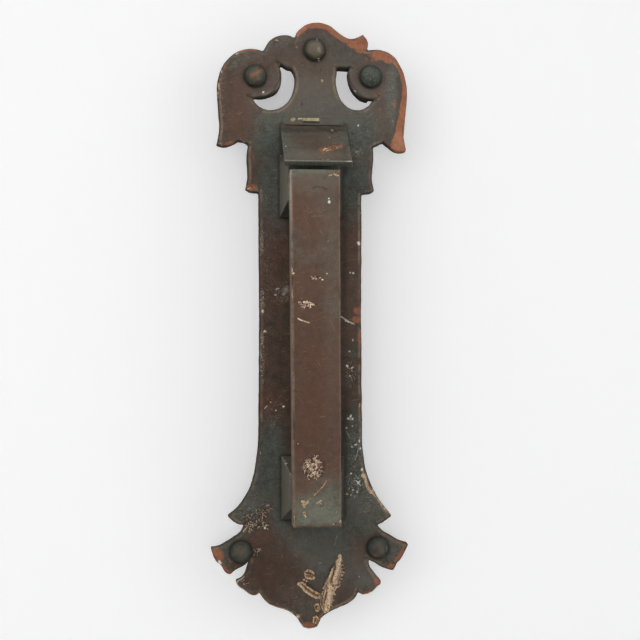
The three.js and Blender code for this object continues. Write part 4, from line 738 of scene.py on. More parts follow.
    # dirt, and painted shade in corners, on walls, under overhangs, beside the arm and round scrapes
    grime = t.attr("grime")
    c = t.mix(t.math("MULTIPLY", grime, 0.78), c, lin(34, 31, 25))
    t.feed(t.bsdf.inputs["Base Color"], c)
    m = t.math("SUBTRACT", metal, t.math("MULTIPLY", film, metal * 0.8))
    m = t.math("ADD", m, t.math("MULTIPLY", cop, 0.25))
    m = t.math("SUBTRACT", m, t.math("MULTIPLY", pal, 0.5), clamp=True)
    t.feed(t.bsdf.inputs["Metallic"], m)
    r = t.math("ADD", rough - 0.10, t.math("MULTIPLY", mid, 0.20))
    r = t.math("ADD", r, t.math("MULTIPLY", film, 0.16))
    r = t.math("SUBTRACT", r, t.math("MULTIPLY", edge, 0.08))
    r = t.math("ADD", r, t.math("MULTIPLY", scr, 0.20), clamp=True)
    t.feed(t.bsdf.inputs["Roughness"], r)
    h = t.math("ADD", t.math("MULTIPLY", mid, 1.0), t.math("MULTIPLY", fine, 0.5 * grain))
    h = t.math("ADD", h, t.math("MULTIPLY", speck, 0.25 * grain))
    h = t.math("SUBTRACT", h, t.math("MULTIPLY", scr, 0.9))
    h = t.math("SUBTRACT", h, t.math("MULTIPLY", curl, 0.7))
    h = t.math("ADD", h, t.math("MULTIPLY", film, 0.25))
    t.feed(t.bsdf.inputs["Normal"], t.bump(h, 0.10))
    t.bsdf.inputs["IOR"].default_value = 1.45
    t.bsdf.inputs["Specular IOR Level"].default_value = 0.4
    return t.mat


PLATE_TONES = (lin(64, 53, 45), lin(84, 67, 56), lin(98, 67, 53), lin(105, 97, 88), lin(62, 66, 60), lin(87, 95, 87), lin(142, 124, 102))
MATS = {
    "plate": patina("plate_patina", *PLATE_TONES),
    "arm": patina("arm_patina", lin(81, 62, 51), lin(97, 75, 62), lin(106, 72, 56), lin(112, 97, 84), lin(86, 95, 84), lin(121, 133, 116), lin(152, 131, 112), grain=0.7),
    "hood": patina("hood_patina", lin(74, 66, 57), lin(93, 82, 70), lin(98, 74, 59), lin(116, 107, 96), lin(70, 73, 66), lin(100, 105, 96), lin(146, 140, 126)),
    # the block patina is a lighter copy of the bronze: painted light for the blocks' left faces
    "block": patina("block_patina", lin(72, 71, 62), lin(90, 87, 77), lin(96, 80, 66), lin(120, 116, 104), lin(80, 84, 75), lin(110, 116, 105), lin(150, 138, 118)),
    "nail": patina("nail_patina", lin(50, 48, 40), lin(70, 66, 56), lin(98, 74, 60), lin(122, 111, 94), lin(54, 66, 59), lin(78, 92, 84), lin(124, 112, 94), grain=1.2, rough=0.80),
    "braze": patina("braze", *PLATE_TONES),
    "rivet": patina("rivet_copper", lin(84, 56, 42), lin(128, 84, 62), lin(140, 88, 62), lin(150, 112, 90), lin(70, 78, 68), lin(98, 112, 98), lin(176, 122, 92), metal=0.6, rough=0.45),
    "pin": patina("pin_metal", lin(70, 66, 60), lin(104, 98, 88), lin(98, 78, 62), lin(132, 126, 116), lin(70, 74, 66), lin(94, 100, 92), lin(168, 160, 144), metal=0.7, rough=0.38),
}

# ---------------------------------------------------------------- back plate


def plate_rim():
    """Points with outward directions along every edge of the plate's front face, the piercings and holes included."""
    bm = bmesh.new()
    bm.from_mesh(NODES["back_plate"].data)
    bmesh.ops.remove_doubles(bm, verts=bm.verts, dist=2e-6)
    bm.normal_update()
    segs, at = [], {}
    for e in bm.edges:
        if len(e.link_faces) != 2:
            continue
        f, g = e.link_faces
        side = g if f.normal.y < -0.9 and abs(g.normal.y) < 0.3 else f if g.normal.y < -0.9 and abs(f.normal.y) < 0.3 else None
        if side is None:
            continue
        n = np.array([side.normal.x, side.normal.z])
        n /= max(np.linalg.norm(n), 1e-9)
        a, b = e.verts
        segs.append((a.index, b.index, np.array([a.co.x, a.co.z]) / MM, np.array([b.co.x, b.co.z]) / MM, n))
        at.setdefault(a.index, []).append(n)
        at.setdefault(b.index, []).append(n)
    bm.free()

    def end_normal(i, n):
        ns = at[i]
        if len(ns) == 2 and ns[0] @ ns[1] > 0.8:
            m = ns[0] + ns[1]
            return m / np.linalg.norm(m)
        return n

    pts, nrm = [], []
    for ia, ib, a, b, n in segs:
        na, nb = end_normal(ia, n), end_normal(ib, n)
        k = max(2, int(np.linalg.norm(b - a) / 0.2) + 1)
        for s in np.linspace(0, 1, k):
            m = na * (1 - s) + nb * s
            pts.append(a * (1 - s) + b * s)
            nrm.append(m / np.linalg.norm(m))
    return np.array(pts), np.array(nrm)


# small corrections of the outline: x, z, reach, and how far the metal grows there
NUDGES = ((-36.5, -135.6, 5.0, 0.6), (-13.1, 146.4, 3.0, 1.2), (-16.7, 147.4, 2.0, -0.8), (-25.3, 129.3, 6.0, -0.45), (28.5, 128.7, 5.0, -0.45), (35.1, 128.0, 2.4, 0.9), (41.8, 104.7, 3.0, -1.1), (42.3, -117.1, 5.0, -0.4), (35.4, -138.1, 5.0, -0.4), (40.0, -145.9, 4.0, 0.9))


PLATE_FINE = (
    (6.1, -150.1, 15.2, 21.6, 2),
    (-29.7, -116.5, 10.5, 16.8, 2),
    (25.9, -53.1, 6.3, 47.1, 1),
    (44.7, 128.3, 13.0, 29.3, 1),
    (-20.1, -45.3, 10.0, 6.0, 1),
    (11.9, 160.9, 20.4, 10.7, 1),
)


def build_plate():
    mesh = refined("back_plate", 0.62)
    densify(mesh, PLATE_FRONT, PLATE_FINE)
    p = points(mesh)
    rim, rim_n = plate_rim()
    tree = kdtree.KDTree(len(rim))
    for i, q in enumerate(rim):
        tree.insert((q[0], q[1], 0), i)
    tree.balance()
    near = np.array([tree.find((x, z, 0))[1] for x, z in p[:, [0, 2]]])
    q, n = rim[near], rim_n[near]
    gap = p[:, [0, 2]] - q
    d = -(gap * n).sum(1)
    flat = np.hypot(gap[:, 0], gap[:, 1])
    d = np.where(flat > 2.5, flat, np.clip(d, 0, None))
    thick = PLATE_HI[1] - PLATE_FRONT
    u = p[:, 1] - PLATE_FRONT
    # soft filed arris in front, a smaller one behind, flat faces and square sides between them
    rf, rb = 1.25, 0.55
    d2, u2 = d.copy(), u.copy()
    front = (u < rf) & (d < rf)
    v = np.stack([d - rf, u - rf], 1)
    length = np.maximum(np.linalg.norm(v, axis=1), 1e-6)
    d2[front] = (rf + v[:, 0] / length * rf)[front]
    u2[front] = (rf + v[:, 1] / length * rf)[front]
    back = (u > thick - rb) & (d < rb)
    v = np.stack([d - rb, u - (thick - rb)], 1)
    length = np.maximum(np.linalg.norm(v, axis=1), 1e-6)
    d2[back] = (rb + v[:, 0] / length * rb)[back]
    u2[back] = (thick - rb + v[:, 1] / length * rb)[back]
    rest = ~front & ~back
    side = rest & (d < np.minimum(u, thick - u)) & (flat < 2.5)
    d2[side] = 0
    u2[rest & ~side & (u < thick / 2)] = 0
    u2[rest & ~side & (u >= thick / 2)] = thick
    move = np.where(flat < 2.5, d2 - d, 0)
    # a hand-cut outline is never quite true
    wobble = (fractal(p * (1, 0.15, 1), 7.0, 3, 2) - 0.5) * 0.34 + (value_noise(p * (1, 0.2, 1), 1.8, 5) - 0.5) * 0.12
    move = move + (wobble - 0.10) * (1 - step(0.4, 3.0, d2)) * (flat < 3.5)
    # the piercings were sawn by hand, so their upper walls lean in towards the back
    pierced = (abs(p[:, 0] - 1.5) < 32) & (p[:, 2] > 118) & (p[:, 2] < 150)
    facing_down = step(0.25, 0.9, -n[:, 1])
    lean = np.where(pierced & (flat < 2.5), facing_down * step(0.5, thick, u2) * (1 - step(0.0, 1.5, d2)), 0) * (0.25 + 0.5 * value_noise(p, 2.2, 17) + 0.75 * step(1.0, 2.0, p[:, 0]) * step(0.75, 0.95, -n[:, 1]))
    move = move - lean
    move = move - 0.32 * step(22.0, 36.0, p[:, 0]) * (1 - step(-108.0, -98.0, p[:, 2])) * (flat < 2.5) * (1 - step(0.4, 3.0, d2))
    for x, z, reach, grow in NUDGES:
        move = move - grow * (1 - step(0.0, reach, np.hypot(p[:, 0] - x, p[:, 2] - z))) * (flat < 2.5) * (1 - step(0.4, 3.0, d2))
    p[:, 0] -= n[:, 0] * move
    p[:, 2] -= n[:, 1] * move
    # planished face: shallow dishes, slow waves, tooling
    face = 1 - step(0.0, 1.0, u2)
    rear = step(thick - 1.0, thick, u2)
    cell, tag = cells(p[:, [0, 2]], 7.5, 2)
    dish = 0.10 * (1 - step(0.0, 5.0, cell)) * (0.4 + tag)
    wave = 0.22 * fractal(p, 26.0, 8, 2) + 0.05 * value_noise(p, 3.2, 9)
    sink = dish + wave * 0.8
    p2, warp = p[:, [0, 2]], warp_field(p, 30)
    layers = {k: np.where(u2 < 3.0, marks(p2, warp, rows), 0) for k, rows in PLATE_MARKS.items()}
    layers["copper"] = np.where(u2 < 3.0, marks(p2, warp * 0.4, PLATE_MARKS["copper"]), 0)
    layers["scrib"] = np.where(u2 < 3.0, scribbled(p2, warp, PLATE_MARKS["curl"]), 0)
    scrape = layers["tan"] * (0.30 + 0.22 * value_noise(p, 0.9, 12)) + layers["curl"] * 0.08
    filed = step(0.35, 0.8, layers["copper"]) * 0.12
    y = u2 + face * (sink + scrape + filed) - rear * (0.10 * fractal(p, 18.0, 14, 2) + 0.12 * (1 - step(0, 5, cell)) * tag)
    p[:, 1] = PLATE_FRONT + y
    put(mesh, p)
    e = edge_list(mesh)
    bend = convexity(mesh, p, e, 2)
    worn = step(0.05, 0.16, bend) * (1 - step(1.2, 2.6, d2))
    along = fractal(p, 16.0, 41, 2)
    worn = worn * (0.25 + 0.75 * step(0.35, 0.7, along))
    # a painted highlight line just inside the front arris, put into the wear layer
    ring = step(0.7, 1.3, d2) * (1 - step(1.7, 2.4, d2)) * face
    worn = np.maximum(worn * step(0.5, 1.1, d2), ring * (0.15 + 0.55 * step(0.45, 0.75, fractal(p, 9.0, 43, 3))))
    # painted shade in the corners round blocks, hood and nail heads, where shade falls on the plate
    grime = layers["grime"].copy()
    for lo, hi, wide in ((UPPER_LO, UPPER_HI, 2.2), (LOWER_LO, LOWER_HI, 2.2), (HOOD_LO, HOOD_HI, 1.6)):
        dx = np.maximum(lo[0] - p[:, 0], p[:, 0] - hi[0])
        dz = np.maximum(lo[2] - p[:, 2], p[:, 2] - hi[2])
        out = np.hypot(np.maximum(dx, 0), np.maximum(dz, 0))
        grime = np.maximum(grime, (1 - step(0.0, wide, out)) * 0.75 * face)
    for node in NODES:
        if node.startswith("dome_nail_"):
            lo, hi = box(node)
            cx, cz, r = (lo[0] + hi[0]) / 2, (lo[2] + hi[2]) / 2, (hi[0] - lo[0]) / 2
            out = np.hypot(p[:, 0] - cx, p[:, 2] - cz) - r
            grime = np.maximum(grime, (1 - step(0.1, 1.5, out)) * 0.85 * face)
            grime = np.maximum(grime, (1 - step(0.2, 3.4, out)) * 0.25 * face)
    low_edge = 1 - step(-155.0, -120.0, p[:, 2])
    # painted shade on the side walls and outer arris, weaker along the lower edges and on copper
    rim_dark = (1 - step(0.1, 0.75, d2)) * (1 - rear) * (1 - 0.6 * low_edge * face)
    grime = np.maximum(grime, rim_dark * (0.34 + 0.25 * fractal(p, 5.0, 45, 2)) * (1 - 0.9 * step(0.2, 0.6, layers["copper"])))
    # a painted rim highlight along the lower edges, in the wear layer
    worn = np.maximum(worn, low_edge * (1 - step(0.5, 1.1, d2)) * (1 - step(1.2, 2.5, u2)) * step(0.35, 0.6, fractal(p, 7.0, 47, 3)) * 0.9)
    # the left border of the shank is dotted with rubbed spots
    dots = (1 - step(0.8, 1.6, abs(d2 - 1.4))) * step(-64.0, -54.0, p[:, 2]) * (1 - step(72.0, 80.0, p[:, 2])) * (p[:, 0] < 0) * face
    layers["spat"] = np.maximum(layers.get("spat", 0), 0.95 * dots * step(0.30, 0.62, fractal(p, 14.0, 49, 2)))
    # the same painted rim highlight in cream, put into the scrape layer
    cream = low_edge * (1 - step(0.45, 1.15, d2)) * (1 - step(1.0, 2.0, u2)) * step(0.30, 0.52, fractal(p, 6.0, 48, 3))
    layers["tan"] = np.maximum(layers["tan"], cream * 0.68)
    film = np.maximum(layers["verd"], rear * 0.5 * step(0.4, 0.7, fractal(p, 22.0, 50, 3)))
    film = np.maximum(film, (1 - face) * (1 - rear) * 0.6 * step(0.3, 0.7, fractal(p, 9.0, 52, 2)))
    layers.update(worn=worn, grime=grime, verd=film)
    layers["lift"] = np.maximum(layers["lift"], rear * 0.35 * fractal(p, 30.0, 54, 2))
    paint(mesh, **layers)
    return settle(mesh, "back_plate_bronze", "back_plate", MATS["plate"])


build_plate()

# ---------------------------------------------------------------- striker arm


ARM_FINE = (
    (0.2, 17.3, 11.2, 18.2, 1),
    (-0.3, -88.7, 10.7, 20.0, 1),
)


def build_arm():
    mesh = refined("striker_arm", 0.42)
    densify(mesh, ARM_LO[1], ARM_FINE)
    p = points(mesh)
    e = edge_list(mesh)
    p = spread(p, e, 1, 0.15)
    put(mesh, p)
    n = normals(mesh)
    front = step(0.3, 0.9, -n[:, 1])
    inner = step(0.0, 0.7, (ARM_HI[2] - p[:, 2] - 22) / 8)
    cell, tag = cells(p[:, [0, 2]], 9.0, 6)
    sink = 0.16 * fractal(p, 24.0, 60, 2) + 0.05 * (1 - step(0, 6, cell)) * tag + 0.04 * value_noise(p, 2.4, 61)
    p2, warp = p[:, [0, 2]], warp_field(p, 70)
    seen = n[:, 1] < -0.15
    layers = {k: np.where(seen, marks(p2, warp, rows), 0) for k, rows in ARM_MARKS.items()}
    layers["scrib"] = np.where(seen, scribbled(p2, warp, ARM_MARKS["curl"]), 0)
    sink = sink + layers["tan"] * 0.12 + layers["curl"] * 0.10 + layers["pale"] * 0.06
    side = 1 - step(0.3, 0.9, abs(n[:, 1]))
    sink = sink * np.maximum(front, 0.0) + side * inner * 0.22 * fractal(p, 13.0, 64, 3)
    p = p - n * sink[:, None]
    # the bar stands a hair fuller along its left side and at its foot
    p[:, 0] -= 0.35 * step(0.2, 0.9, -n[:, 0]) * (p[:, 0] < (ARM_LO[0] + ARM_HI[0]) / 2 - 8)
    p[:, 2] -= 0.50 * step(0.2, 0.9, -n[:, 2]) * step(6.0, 2.0, p[:, 2] - ARM_LO[2])
    put(mesh, p)
    bend = convexity(mesh, p, e, 3)
    worn = step(0.04, 0.13, bend) * (0.35 + 0.65 * step(0.3, 0.65, fractal(p, 18.0, 66, 2)))
    # the long left side is painted paler: painted light where the lamp catches it
    worn = np.maximum(worn, step(0.5, 0.9, -n[:, 0]) * 0.95)
    # both long arrises of the front are painted bright: rubbed wear and a painted highlight along each
    row = np.clip(((p[:, 2] - ARM_LO[2]) / 2.0).astype(int), 0, int((ARM_HI[2] - ARM_LO[2]) / 2.0))
    first = np.full(row.max() + 1, 1e9)
    np.minimum.at(first, row, p[:, 1])
    ahead = p[:, 1] < first[row] + 1.0
    most, least = np.full(row.max() + 1, -1e9), np.full(row.max() + 1, 1e9)
    np.maximum.at(most, row[ahead], p[ahead, 0])
    np.minimum.at(least, row[ahead], p[ahead, 0])
    near_front = 1 - step(0.9, 1.8, p[:, 1] - first[row])
    left = (1 - step(0.8, 1.5, p[:, 0] - least[row])) * (1 - step(2.2, 3.6, p[:, 1] - first[row]))
    right = (1 - step(0.5, 1.1, most[row] - p[:, 0])) * near_front
    high = step(20.0, 75.0, p[:, 2])
    along = 0.55 + 0.45 * step(0.35, 0.6, fractal(p, 12.0, 63, 3))
    worn = np.maximum(worn, left * (0.55 + 0.25 * high) * along)
    worn = np.maximum(worn, right * (0.40 + 0.25 * high) * along)
    layers["worn"] = np.maximum(worn, 0)
    # painted light on the long side faces: the left one paler towards the top, the right one lighter and redder
    left_side_light = step(0.35, 0.80, -n[:, 0]) * (0.26 + 0.16 * high) * (0.75 + 0.25 * along) * (1 - 0.4 * step(3.0, 11.0, p[:, 1] - first[row]))
    layers["pale"] = np.maximum(layers["pale"], left_side_light)
    layers["red"] = np.maximum(layers["red"], step(0.4, 0.9, n[:, 0]) * 0.8)
    layers["lift"] = np.maximum(layers["lift"], step(0.4, 0.9, n[:, 0]) * 0.9)
    layers["lift"] = np.maximum(layers["lift"], step(0.4, 0.9, -n[:, 0]) * (0.55 + 0.4 * high))
    clouds = fractal(p, 15.0, 71, 3)
    layers["verd"] = np.maximum(layers["verd"], 0.20 * step(0.48, 0.68, clouds) * seen * step(-40.0, 10.0, p[:, 2]))
    layers["red"] = np.maximum(layers["red"], 0.55 * step(0.50, 0.34, clouds) * seen)
    off = ~seen
    layers["verd"] = np.where(off & (fractal(p, 15.0, 68, 3) > 0.6), 0.5, layers["verd"])
    layers["verd"] = np.maximum(layers["verd"], (1 - step(2.0, 12.0, p[:, 2] - ARM_LO[2])) * 0.65 * side)
    layers["verd"] = spread(layers["verd"], e, 2)
    paint(mesh, **layers)
    return settle(mesh, "striker_arm_bronze", "striker_arm", MATS["arm"])


build_arm()

# ---------------------------------------------------------------- hood and its braze


def build_hood():
    mesh = refined("hood", 0.42)
    p = points(mesh)
    e = edge_list(mesh)
    p = spread(p, e, 2, 0.4)
    put(mesh, p)
    n = normals(mesh)
    top = step(0.2, 0.7, n[:, 2] * 0.9 - n[:, 1] * 0.4)
    cell, tag = cells(p[:, [0, 1]], 6.0, 9)
    sink = 0.14 * fractal(p, 12.0, 80, 2) + 0.08 * (1 - step(0, 4, cell)) * tag + 0.05 * value_noise(p, 1.6, 82)
    p = p - n * sink[:, None]
    put(mesh, p)
    p2, warp = p[:, [0, 2]], warp_field(p, 84)
    layers = {k: marks(p2, warp, rows) * np.maximum(top, 0.15) for k, rows in HOOD_MARKS.items()}
    bend = convexity(mesh, p, e, 3)
    worn = step(0.05, 0.17, bend) * (0.45 + 0.55 * step(0.3, 0.65, fractal(p, 9.0, 86, 2)))
    # painted light on the hood's end faces, stronger on the right
    worn = np.maximum(worn, step(0.5, 0.9, n[:, 0]) * 0.75)
    worn = np.maximum(worn, step(0.5, 0.9, -n[:, 0]) * 0.30)
    # painted shade on the underside and where the hood meets the plate
    under = step(0.3, 0.8, -n[:, 2])
    layers["worn"] = worn * (1 - under)
    layers["grime"] = np.maximum(layers["grime"], under * 0.55)
    layers["grime"] = np.maximum(layers["grime"], (1 - step(0.0, 2.0, HOOD_HI[1] - p[:, 1])) * 0.4)
    # the front lip gets the green film and painted shade, and no lift or wear
    lip = step(0.35, 0.75, -n[:, 1] * 0.77 - n[:, 2] * 0.63)
    layers["verd"] = np.maximum(layers["verd"] * (1 - lip), lip * 0.9)
    layers["grime"] = np.maximum(layers["grime"], lip * 0.40)
    layers["lift"] = layers["lift"] * (1 - lip)
    layers["worn"] = layers["worn"] * (1 - lip)
    # a painted highlight along the lip's top edge, brighter near the right end
    tilt = -n[:, 1] * 0.77 - n[:, 2] * 0.63
    line = step(0.0, 0.25, tilt) * (1 - step(0.5, 0.8, tilt))
    layers["worn"] = np.maximum(layers["worn"], line * (0.7 + 0.3 * fractal(p, 5.0, 88, 2)))
    layers["grime"] = layers["grime"] * (1 - 0.8 * line)
    layers["pale"] = np.maximum(layers["pale"], line * 0.24 * fractal(p, 3.0, 89, 2))
    layers["pale"] = np.maximum(layers["pale"], line * 0.60 * step(HOOD_HI[0] - 9, HOOD_HI[0] - 2, p[:, 0]))
    paint(mesh, **layers)
    return settle(mesh, "hood_sheet", "hood", MATS["hood"])


def build_braze():
    mesh = refined("hood_braze_seam", 0.2)
    p = points(mesh)
    e = edge_list(mesh)
    n = normals(mesh)
    lo, hi = box("hood_braze_seam")
    down = hi[2] - p[:, 2]
    ragged = 0.5 * (value_noise(p, 1.4, 91) - 0.5)
    bar = step(-4.6, -4.0, p[:, 0]) * (1 - step(4.9, 5.4, p[:, 0])) * (1 - step(1.75, 2.1, down + ragged))
    tail = step(-7.6, -7.0, p[:, 0]) * (1 - step(-4.6, -4.0, p[:, 0])) * (1 - step(1.0, 1.5, down + ragged))
    blob = 1 - step(0.85, 1.5, np.hypot((p[:, 0] + 9.9) / 1.35, down - 1.0 + ragged))
    bead = np.maximum(np.maximum(bar, tail), blob)
    run = fractal(p, 2.6, 90, 2)
    groove = step(-4.8, -4.2, p[:, 0]) * (1 - step(5.0, 5.6, p[:, 0])) * step(1.8, 2.1, down) * (1 - step(2.5, 3.0, down))
    lift = -0.32 * run - 0.15 + 0.55 * bead - 0.35 * groove
    outward = np.maximum(step(0.0, 0.6, -n[:, 1]), step(0.2, 0.8, n[:, 2]))
    p = p + spread(n, e, 3) * (lift * outward)[:, None]
    # it runs out thin against the plate at the top and at both ends
    thin = np.minimum(step(-0.2, 3.0, down), np.minimum(step(-0.2, 2.5, p[:, 0] - lo[0]), step(-0.2, 2.5, hi[0] - p[:, 0])))
    thin = np.maximum(0.22 + 0.78 * thin, 0.9 * step(0.3, 0.8, bead))
    p[:, 1] = np.where(p[:, 1] < PLATE_FRONT, PLATE_FRONT + (p[:, 1] - PLATE_FRONT) * thin, p[:, 1])
    put(mesh, p)
    n = normals(mesh)
    bend = convexity(mesh, p, e, 3)
    p2, warp = p[:, [0, 2]], warp_field(p, 30)
    layers = {k: marks(p2, warp, rows) for k, rows in PLATE_MARKS.items() if k in ("verd", "lift", "red", "spat", "grime")}
    layers["grime"] = np.maximum(layers.get("grime", 0), np.maximum(groove * 0.9, 0.40 * step(2.0, 4.6, down) * (1 - bead)))
    layers["gold"] = bead * (0.75 + 0.25 * fractal(p, 1.8, 92, 2))
    paint(mesh, **layers)
    return settle(mesh, "hood_braze_fillet", "hood_braze_seam", MATS["braze"])


build_hood()
build_braze()

# ---------------------------------------------------------------- seat blocks


def build_block(node, name, seed):
    mesh = refined(node, 0.5)
    p = points(mesh)
    e = edge_list(mesh)
    p = spread(p, e, 2, 0.4)
    put(mesh, p)
    n = normals(mesh)
    lo, hi = box(node)
    outer = step(0.5, 2.0, hi[1] - p[:, 1])
    cell, tag = cells(p[:, [0, 2]] + p[:, [1, 1]] * 0.5, 6.5, seed)
    sink = 0.20 * fractal(p, 11.0, seed + 100, 2) + 0.10 * (1 - step(0, 4, cell)) * tag + 0.05 * value_noise(p, 1.7, seed + 101)
    p = p - n * (sink * outer)[:, None]
    put(mesh, p)
    bend = convexity(mesh, p, e, 3)
    worn = step(0.04, 0.15, bend) * (0.3 + 0.7 * step(0.3, 0.6, fractal(p, 8.0, seed + 103, 2)))
    verd = 0.35 + 0.6 * fractal(p, 12.0, seed + 104, 3)
    lift = 0.5 * fractal(p, 9.0, seed + 105, 2)
    # painted light: the left faces are lighter and less green
    lift = np.maximum(lift, step(0.4, 0.9, -n[:, 0]) * 0.95)
    verd = verd * (1 - 0.5 * step(0.4, 0.9, -n[:, 0]))
    pale = np.zeros(len(p))
    if node == "strike_block":
        # the strike block's top-left corner: a pale spot and a bright edge line, partly wear and partly painted
        # highlight, and painted light on the upper left face
        corner = np.array([lo[0], lo[1] + 4, hi[2]])
        d = np.hypot(p[:, 0] - (lo[0] + 2.2), p[:, 2] - (hi[2] - 3.0))
        pale = (1 - step(0.4, 2.0, d)) * 0.6 * step(0.3, 0.6, fractal(p, 1.6, 111, 2))
        edge_line = step(0.05, 0.14, bend) * (p[:, 0] < lo[0] + 9) * (p[:, 2] > hi[2] - 12)
        worn = np.maximum(worn, edge_line * 0.9)
        lift = np.maximum(lift, step(0.4, 0.9, -n[:, 0]) * 0.35 * step(hi[2] - 30, hi[2] - 8, p[:, 2]))
    # painted light on the front part of the left faces
    ahead = step(0.25, 0.65, (hi[1] - p[:, 1]) / (hi[1] - lo[1])) * step(0.4, 0.9, -n[:, 0])
    worn = np.maximum(worn, ahead * (0.30 if node == "hinge_block" else 0.12))
    # painted shade where each block meets the plate, and on its right and lower faces
    grime = (1 - step(0.0, 2.6, hi[1] - p[:, 1])) * 0.55
    shade_side = np.maximum(step(0.3, 0.8, n[:, 0]) * 0.75, step(0.3, 0.7, -n[:, 2]) * (0.62 if node == "hinge_block" else 0.34))
    grime = np.maximum(grime, shade_side)
    # painted shade on the strike block's upper face, and on the hinge block's top under the hood
    if node == "strike_block":
        grime = np.maximum(grime, step(0.3, 0.7, n[:, 2]) * 0.60 * (1 - step(0.05, 0.14, bend)))
    if node == "hinge_block":
        grime = np.maximum(grime, step(hi[2] - 7, hi[2] - 3, p[:, 2]) * 0.6)
    # less wear shows on the right faces, which are kept in painted shade
    worn = worn * (1 - 0.8 * step(0.2, 0.6, n[:, 0]))
    paint(mesh, worn=worn, verd=verd, lift=lift, pale=pale, grime=grime)
    return settle(mesh, name, node, MATS["block"])


build_block("hinge_block", "hinge_block_bronze", 1)
build_block("strike_block", "strike_block_bronze", 4)

# ---------------------------------------------------------------- dome-headed nails


def build_nail(node, seed, tone):
    mesh = refined(node, 0.32)
    p = points(mesh)
    e = edge_list(mesh)
    lo, hi = box(node)
    cx, cz = (lo[0] + hi[0]) / 2, (lo[2] + hi[2]) / 2
    rad, top = (hi[0] - lo[0]) / 2, lo[1]
    height = PLATE_FRONT - top
    centre = np.array([cx, PLATE_FRONT, cz])
    head = p[:, 1] < PLATE_FRONT - 0.25
    rng = np.random.default_rng(seed)
    q = p - centre
    unit = q / (rad, height, rad)
    for k in range(16):
        # hammer flats round the dome
        a, tilt = k * 2.399 + rng.uniform(-0.5, 0.5), rng.uniform(0.15, 1.15)
        d = np.array([math.cos(a) * math.sin(tilt), -math.cos(tilt), math.sin(a) * math.sin(tilt)])
        over = unit @ d - rng.uniform(0.93, 0.975)
        cut = np.where(head, np.clip(over, 0, None), 0) * 0.9
        unit = unit - cut[:, None] * d
    q = np.where(head[:, None], unit * (rad, height, rad), q)
    p = q + centre
    p = spread(p, e, 1, 0.4)
    put(mesh, p)
    n = normals(mesh)
    shank = step(PLATE_FRONT, PLATE_FRONT + 1.0, p[:, 1])
    sink = (0.14 * fractal(p, 3.4, seed + 1, 2) + 0.06 * value_noise(p, 1.1, seed + 2)) * (1 - shank) + 0.10 * fractal(p, 4.0, seed + 3, 2) * shank
    p = p - n * sink[:, None]
    put(mesh, p)
    bend = convexity(mesh, p, e, 2)
    r = np.hypot(p[:, 0] - cx, p[:, 2] - cz) / rad
    crown = (1 - step(0.35, 0.95, r)) * (1 - shank)
    film = (0.75 - 0.35 * tone) * (0.5 + 0.5 * fractal(p, 5.0, seed + 4, 2)) + 0.3 * step(0.6, 1.0, r)
    # the dark ring at the foot of each dome is painted shade where it meets the plate
    layers = dict(
        worn=np.maximum(step(0.05, 0.16, bend) * 0.7, crown * (0.25 + 0.35 * tone) * fractal(p, 3.0, seed + 5, 2)) * (1 - shank * 0.7),
        verd=film,
        lift=crown * (0.25 + 0.75 * tone),
        red=crown * 0.6 * tone * step(0.4, 0.7, fractal(p, 4.5, seed + 6, 2)),
        grime=step(0.80, 1.0, r) * (1 - step(1.4, 3.4, PLATE_FRONT - p[:, 1])) * 0.9 * (1 - shank),
    )
    if "bottom" in node:
        layers["grime"] = np.maximum(layers["grime"], 0.14 + 0.14 * fractal(p, 2.4, seed + 8, 2))
    if node.endswith("top_right"):
        layers["verd"] = np.maximum(layers["verd"], 0.95)
        layers["lift"] = layers["lift"] * 0.4
    p2, warp = p[:, [0, 2]], warp_field(p, seed + 7)
    if node.endswith("top_left"):
        layers["copper"] = marks(p2, warp, [("s", [(cx - 2.4, cz - 1.0), (cx - 0.4, cz + 0.7), (cx + 3.4, cz + 2.6)], 2.4, 1.0, 0.60), ("e", cx + 2.4, cz + 2.2, 2.2, 1.2, 20, 0.9, 0.6)])
    if node.endswith("bottom_right"):
        layers["copper"] = marks(p2, warp, [("e", cx - 1.6, cz - 4.2, 1.5, 1.0, 0, 0.6, 0.9)])
        # a painted highlight arc down the dome's right side
        layers["pale"] = marks(p2, warp, [("s", [(cx + 4.4, cz + 1.6), (cx + 5.0, cz - 0.4), (cx + 4.4, cz - 2.0)], 0.8, 0.9, 0.3)])
    if node.endswith("top_centre"):
        # a painted highlight on the dome's lower right, plus two small pale specks
        layers["worn"] = np.maximum(layers["worn"], marks(p2, warp, [("e", cx + 1.8, cz - 1.4, 2.8, 3.0, 0, 0.9, 0.9)]) * (0.35 + 0.65 * value_noise(p, 0.9, 231)))
        layers["pale"] = marks(p2, warp, [("e", cx + 1.4, cz + 5.2, 0.8, 0.4, 0, 0.8, 0.4), ("e", cx + 2.4, cz - 5.4, 0.8, 0.6, 0, 0.6, 0.7), ("e", cx + 2.6, cz - 0.8, 2.2, 2.8, 20, 1.0, 0.30)]) * (0.75 + 0.5 * value_noise(p, 0.8, 233))
    if node.endswith("top_right"):
        # a small painted highlight low on the dome
        layers["pale"] = marks(p2, warp, [("e", cx - 0.6, cz - 2.0, 0.7, 0.5, 0, 0.9, 0.3)])
        layers["spat"] = np.full(len(p), 0.14) * (1 - shank)
    paint(mesh, **layers)
    return settle(mesh, node + "_bronze", node, MATS["nail"])


for k, (node, tone) in enumerate((("dome_nail_top_centre", 1.35), ("dome_nail_top_left", 0.35), ("dome_nail_top_right", 0.15), ("dome_nail_bottom_left", 0.30), ("dome_nail_bottom_right", 0.20))):
    build_nail(node, 200 + 20 * k, tone)

# ---------------------------------------------------------------- knuckle, pin and rivets


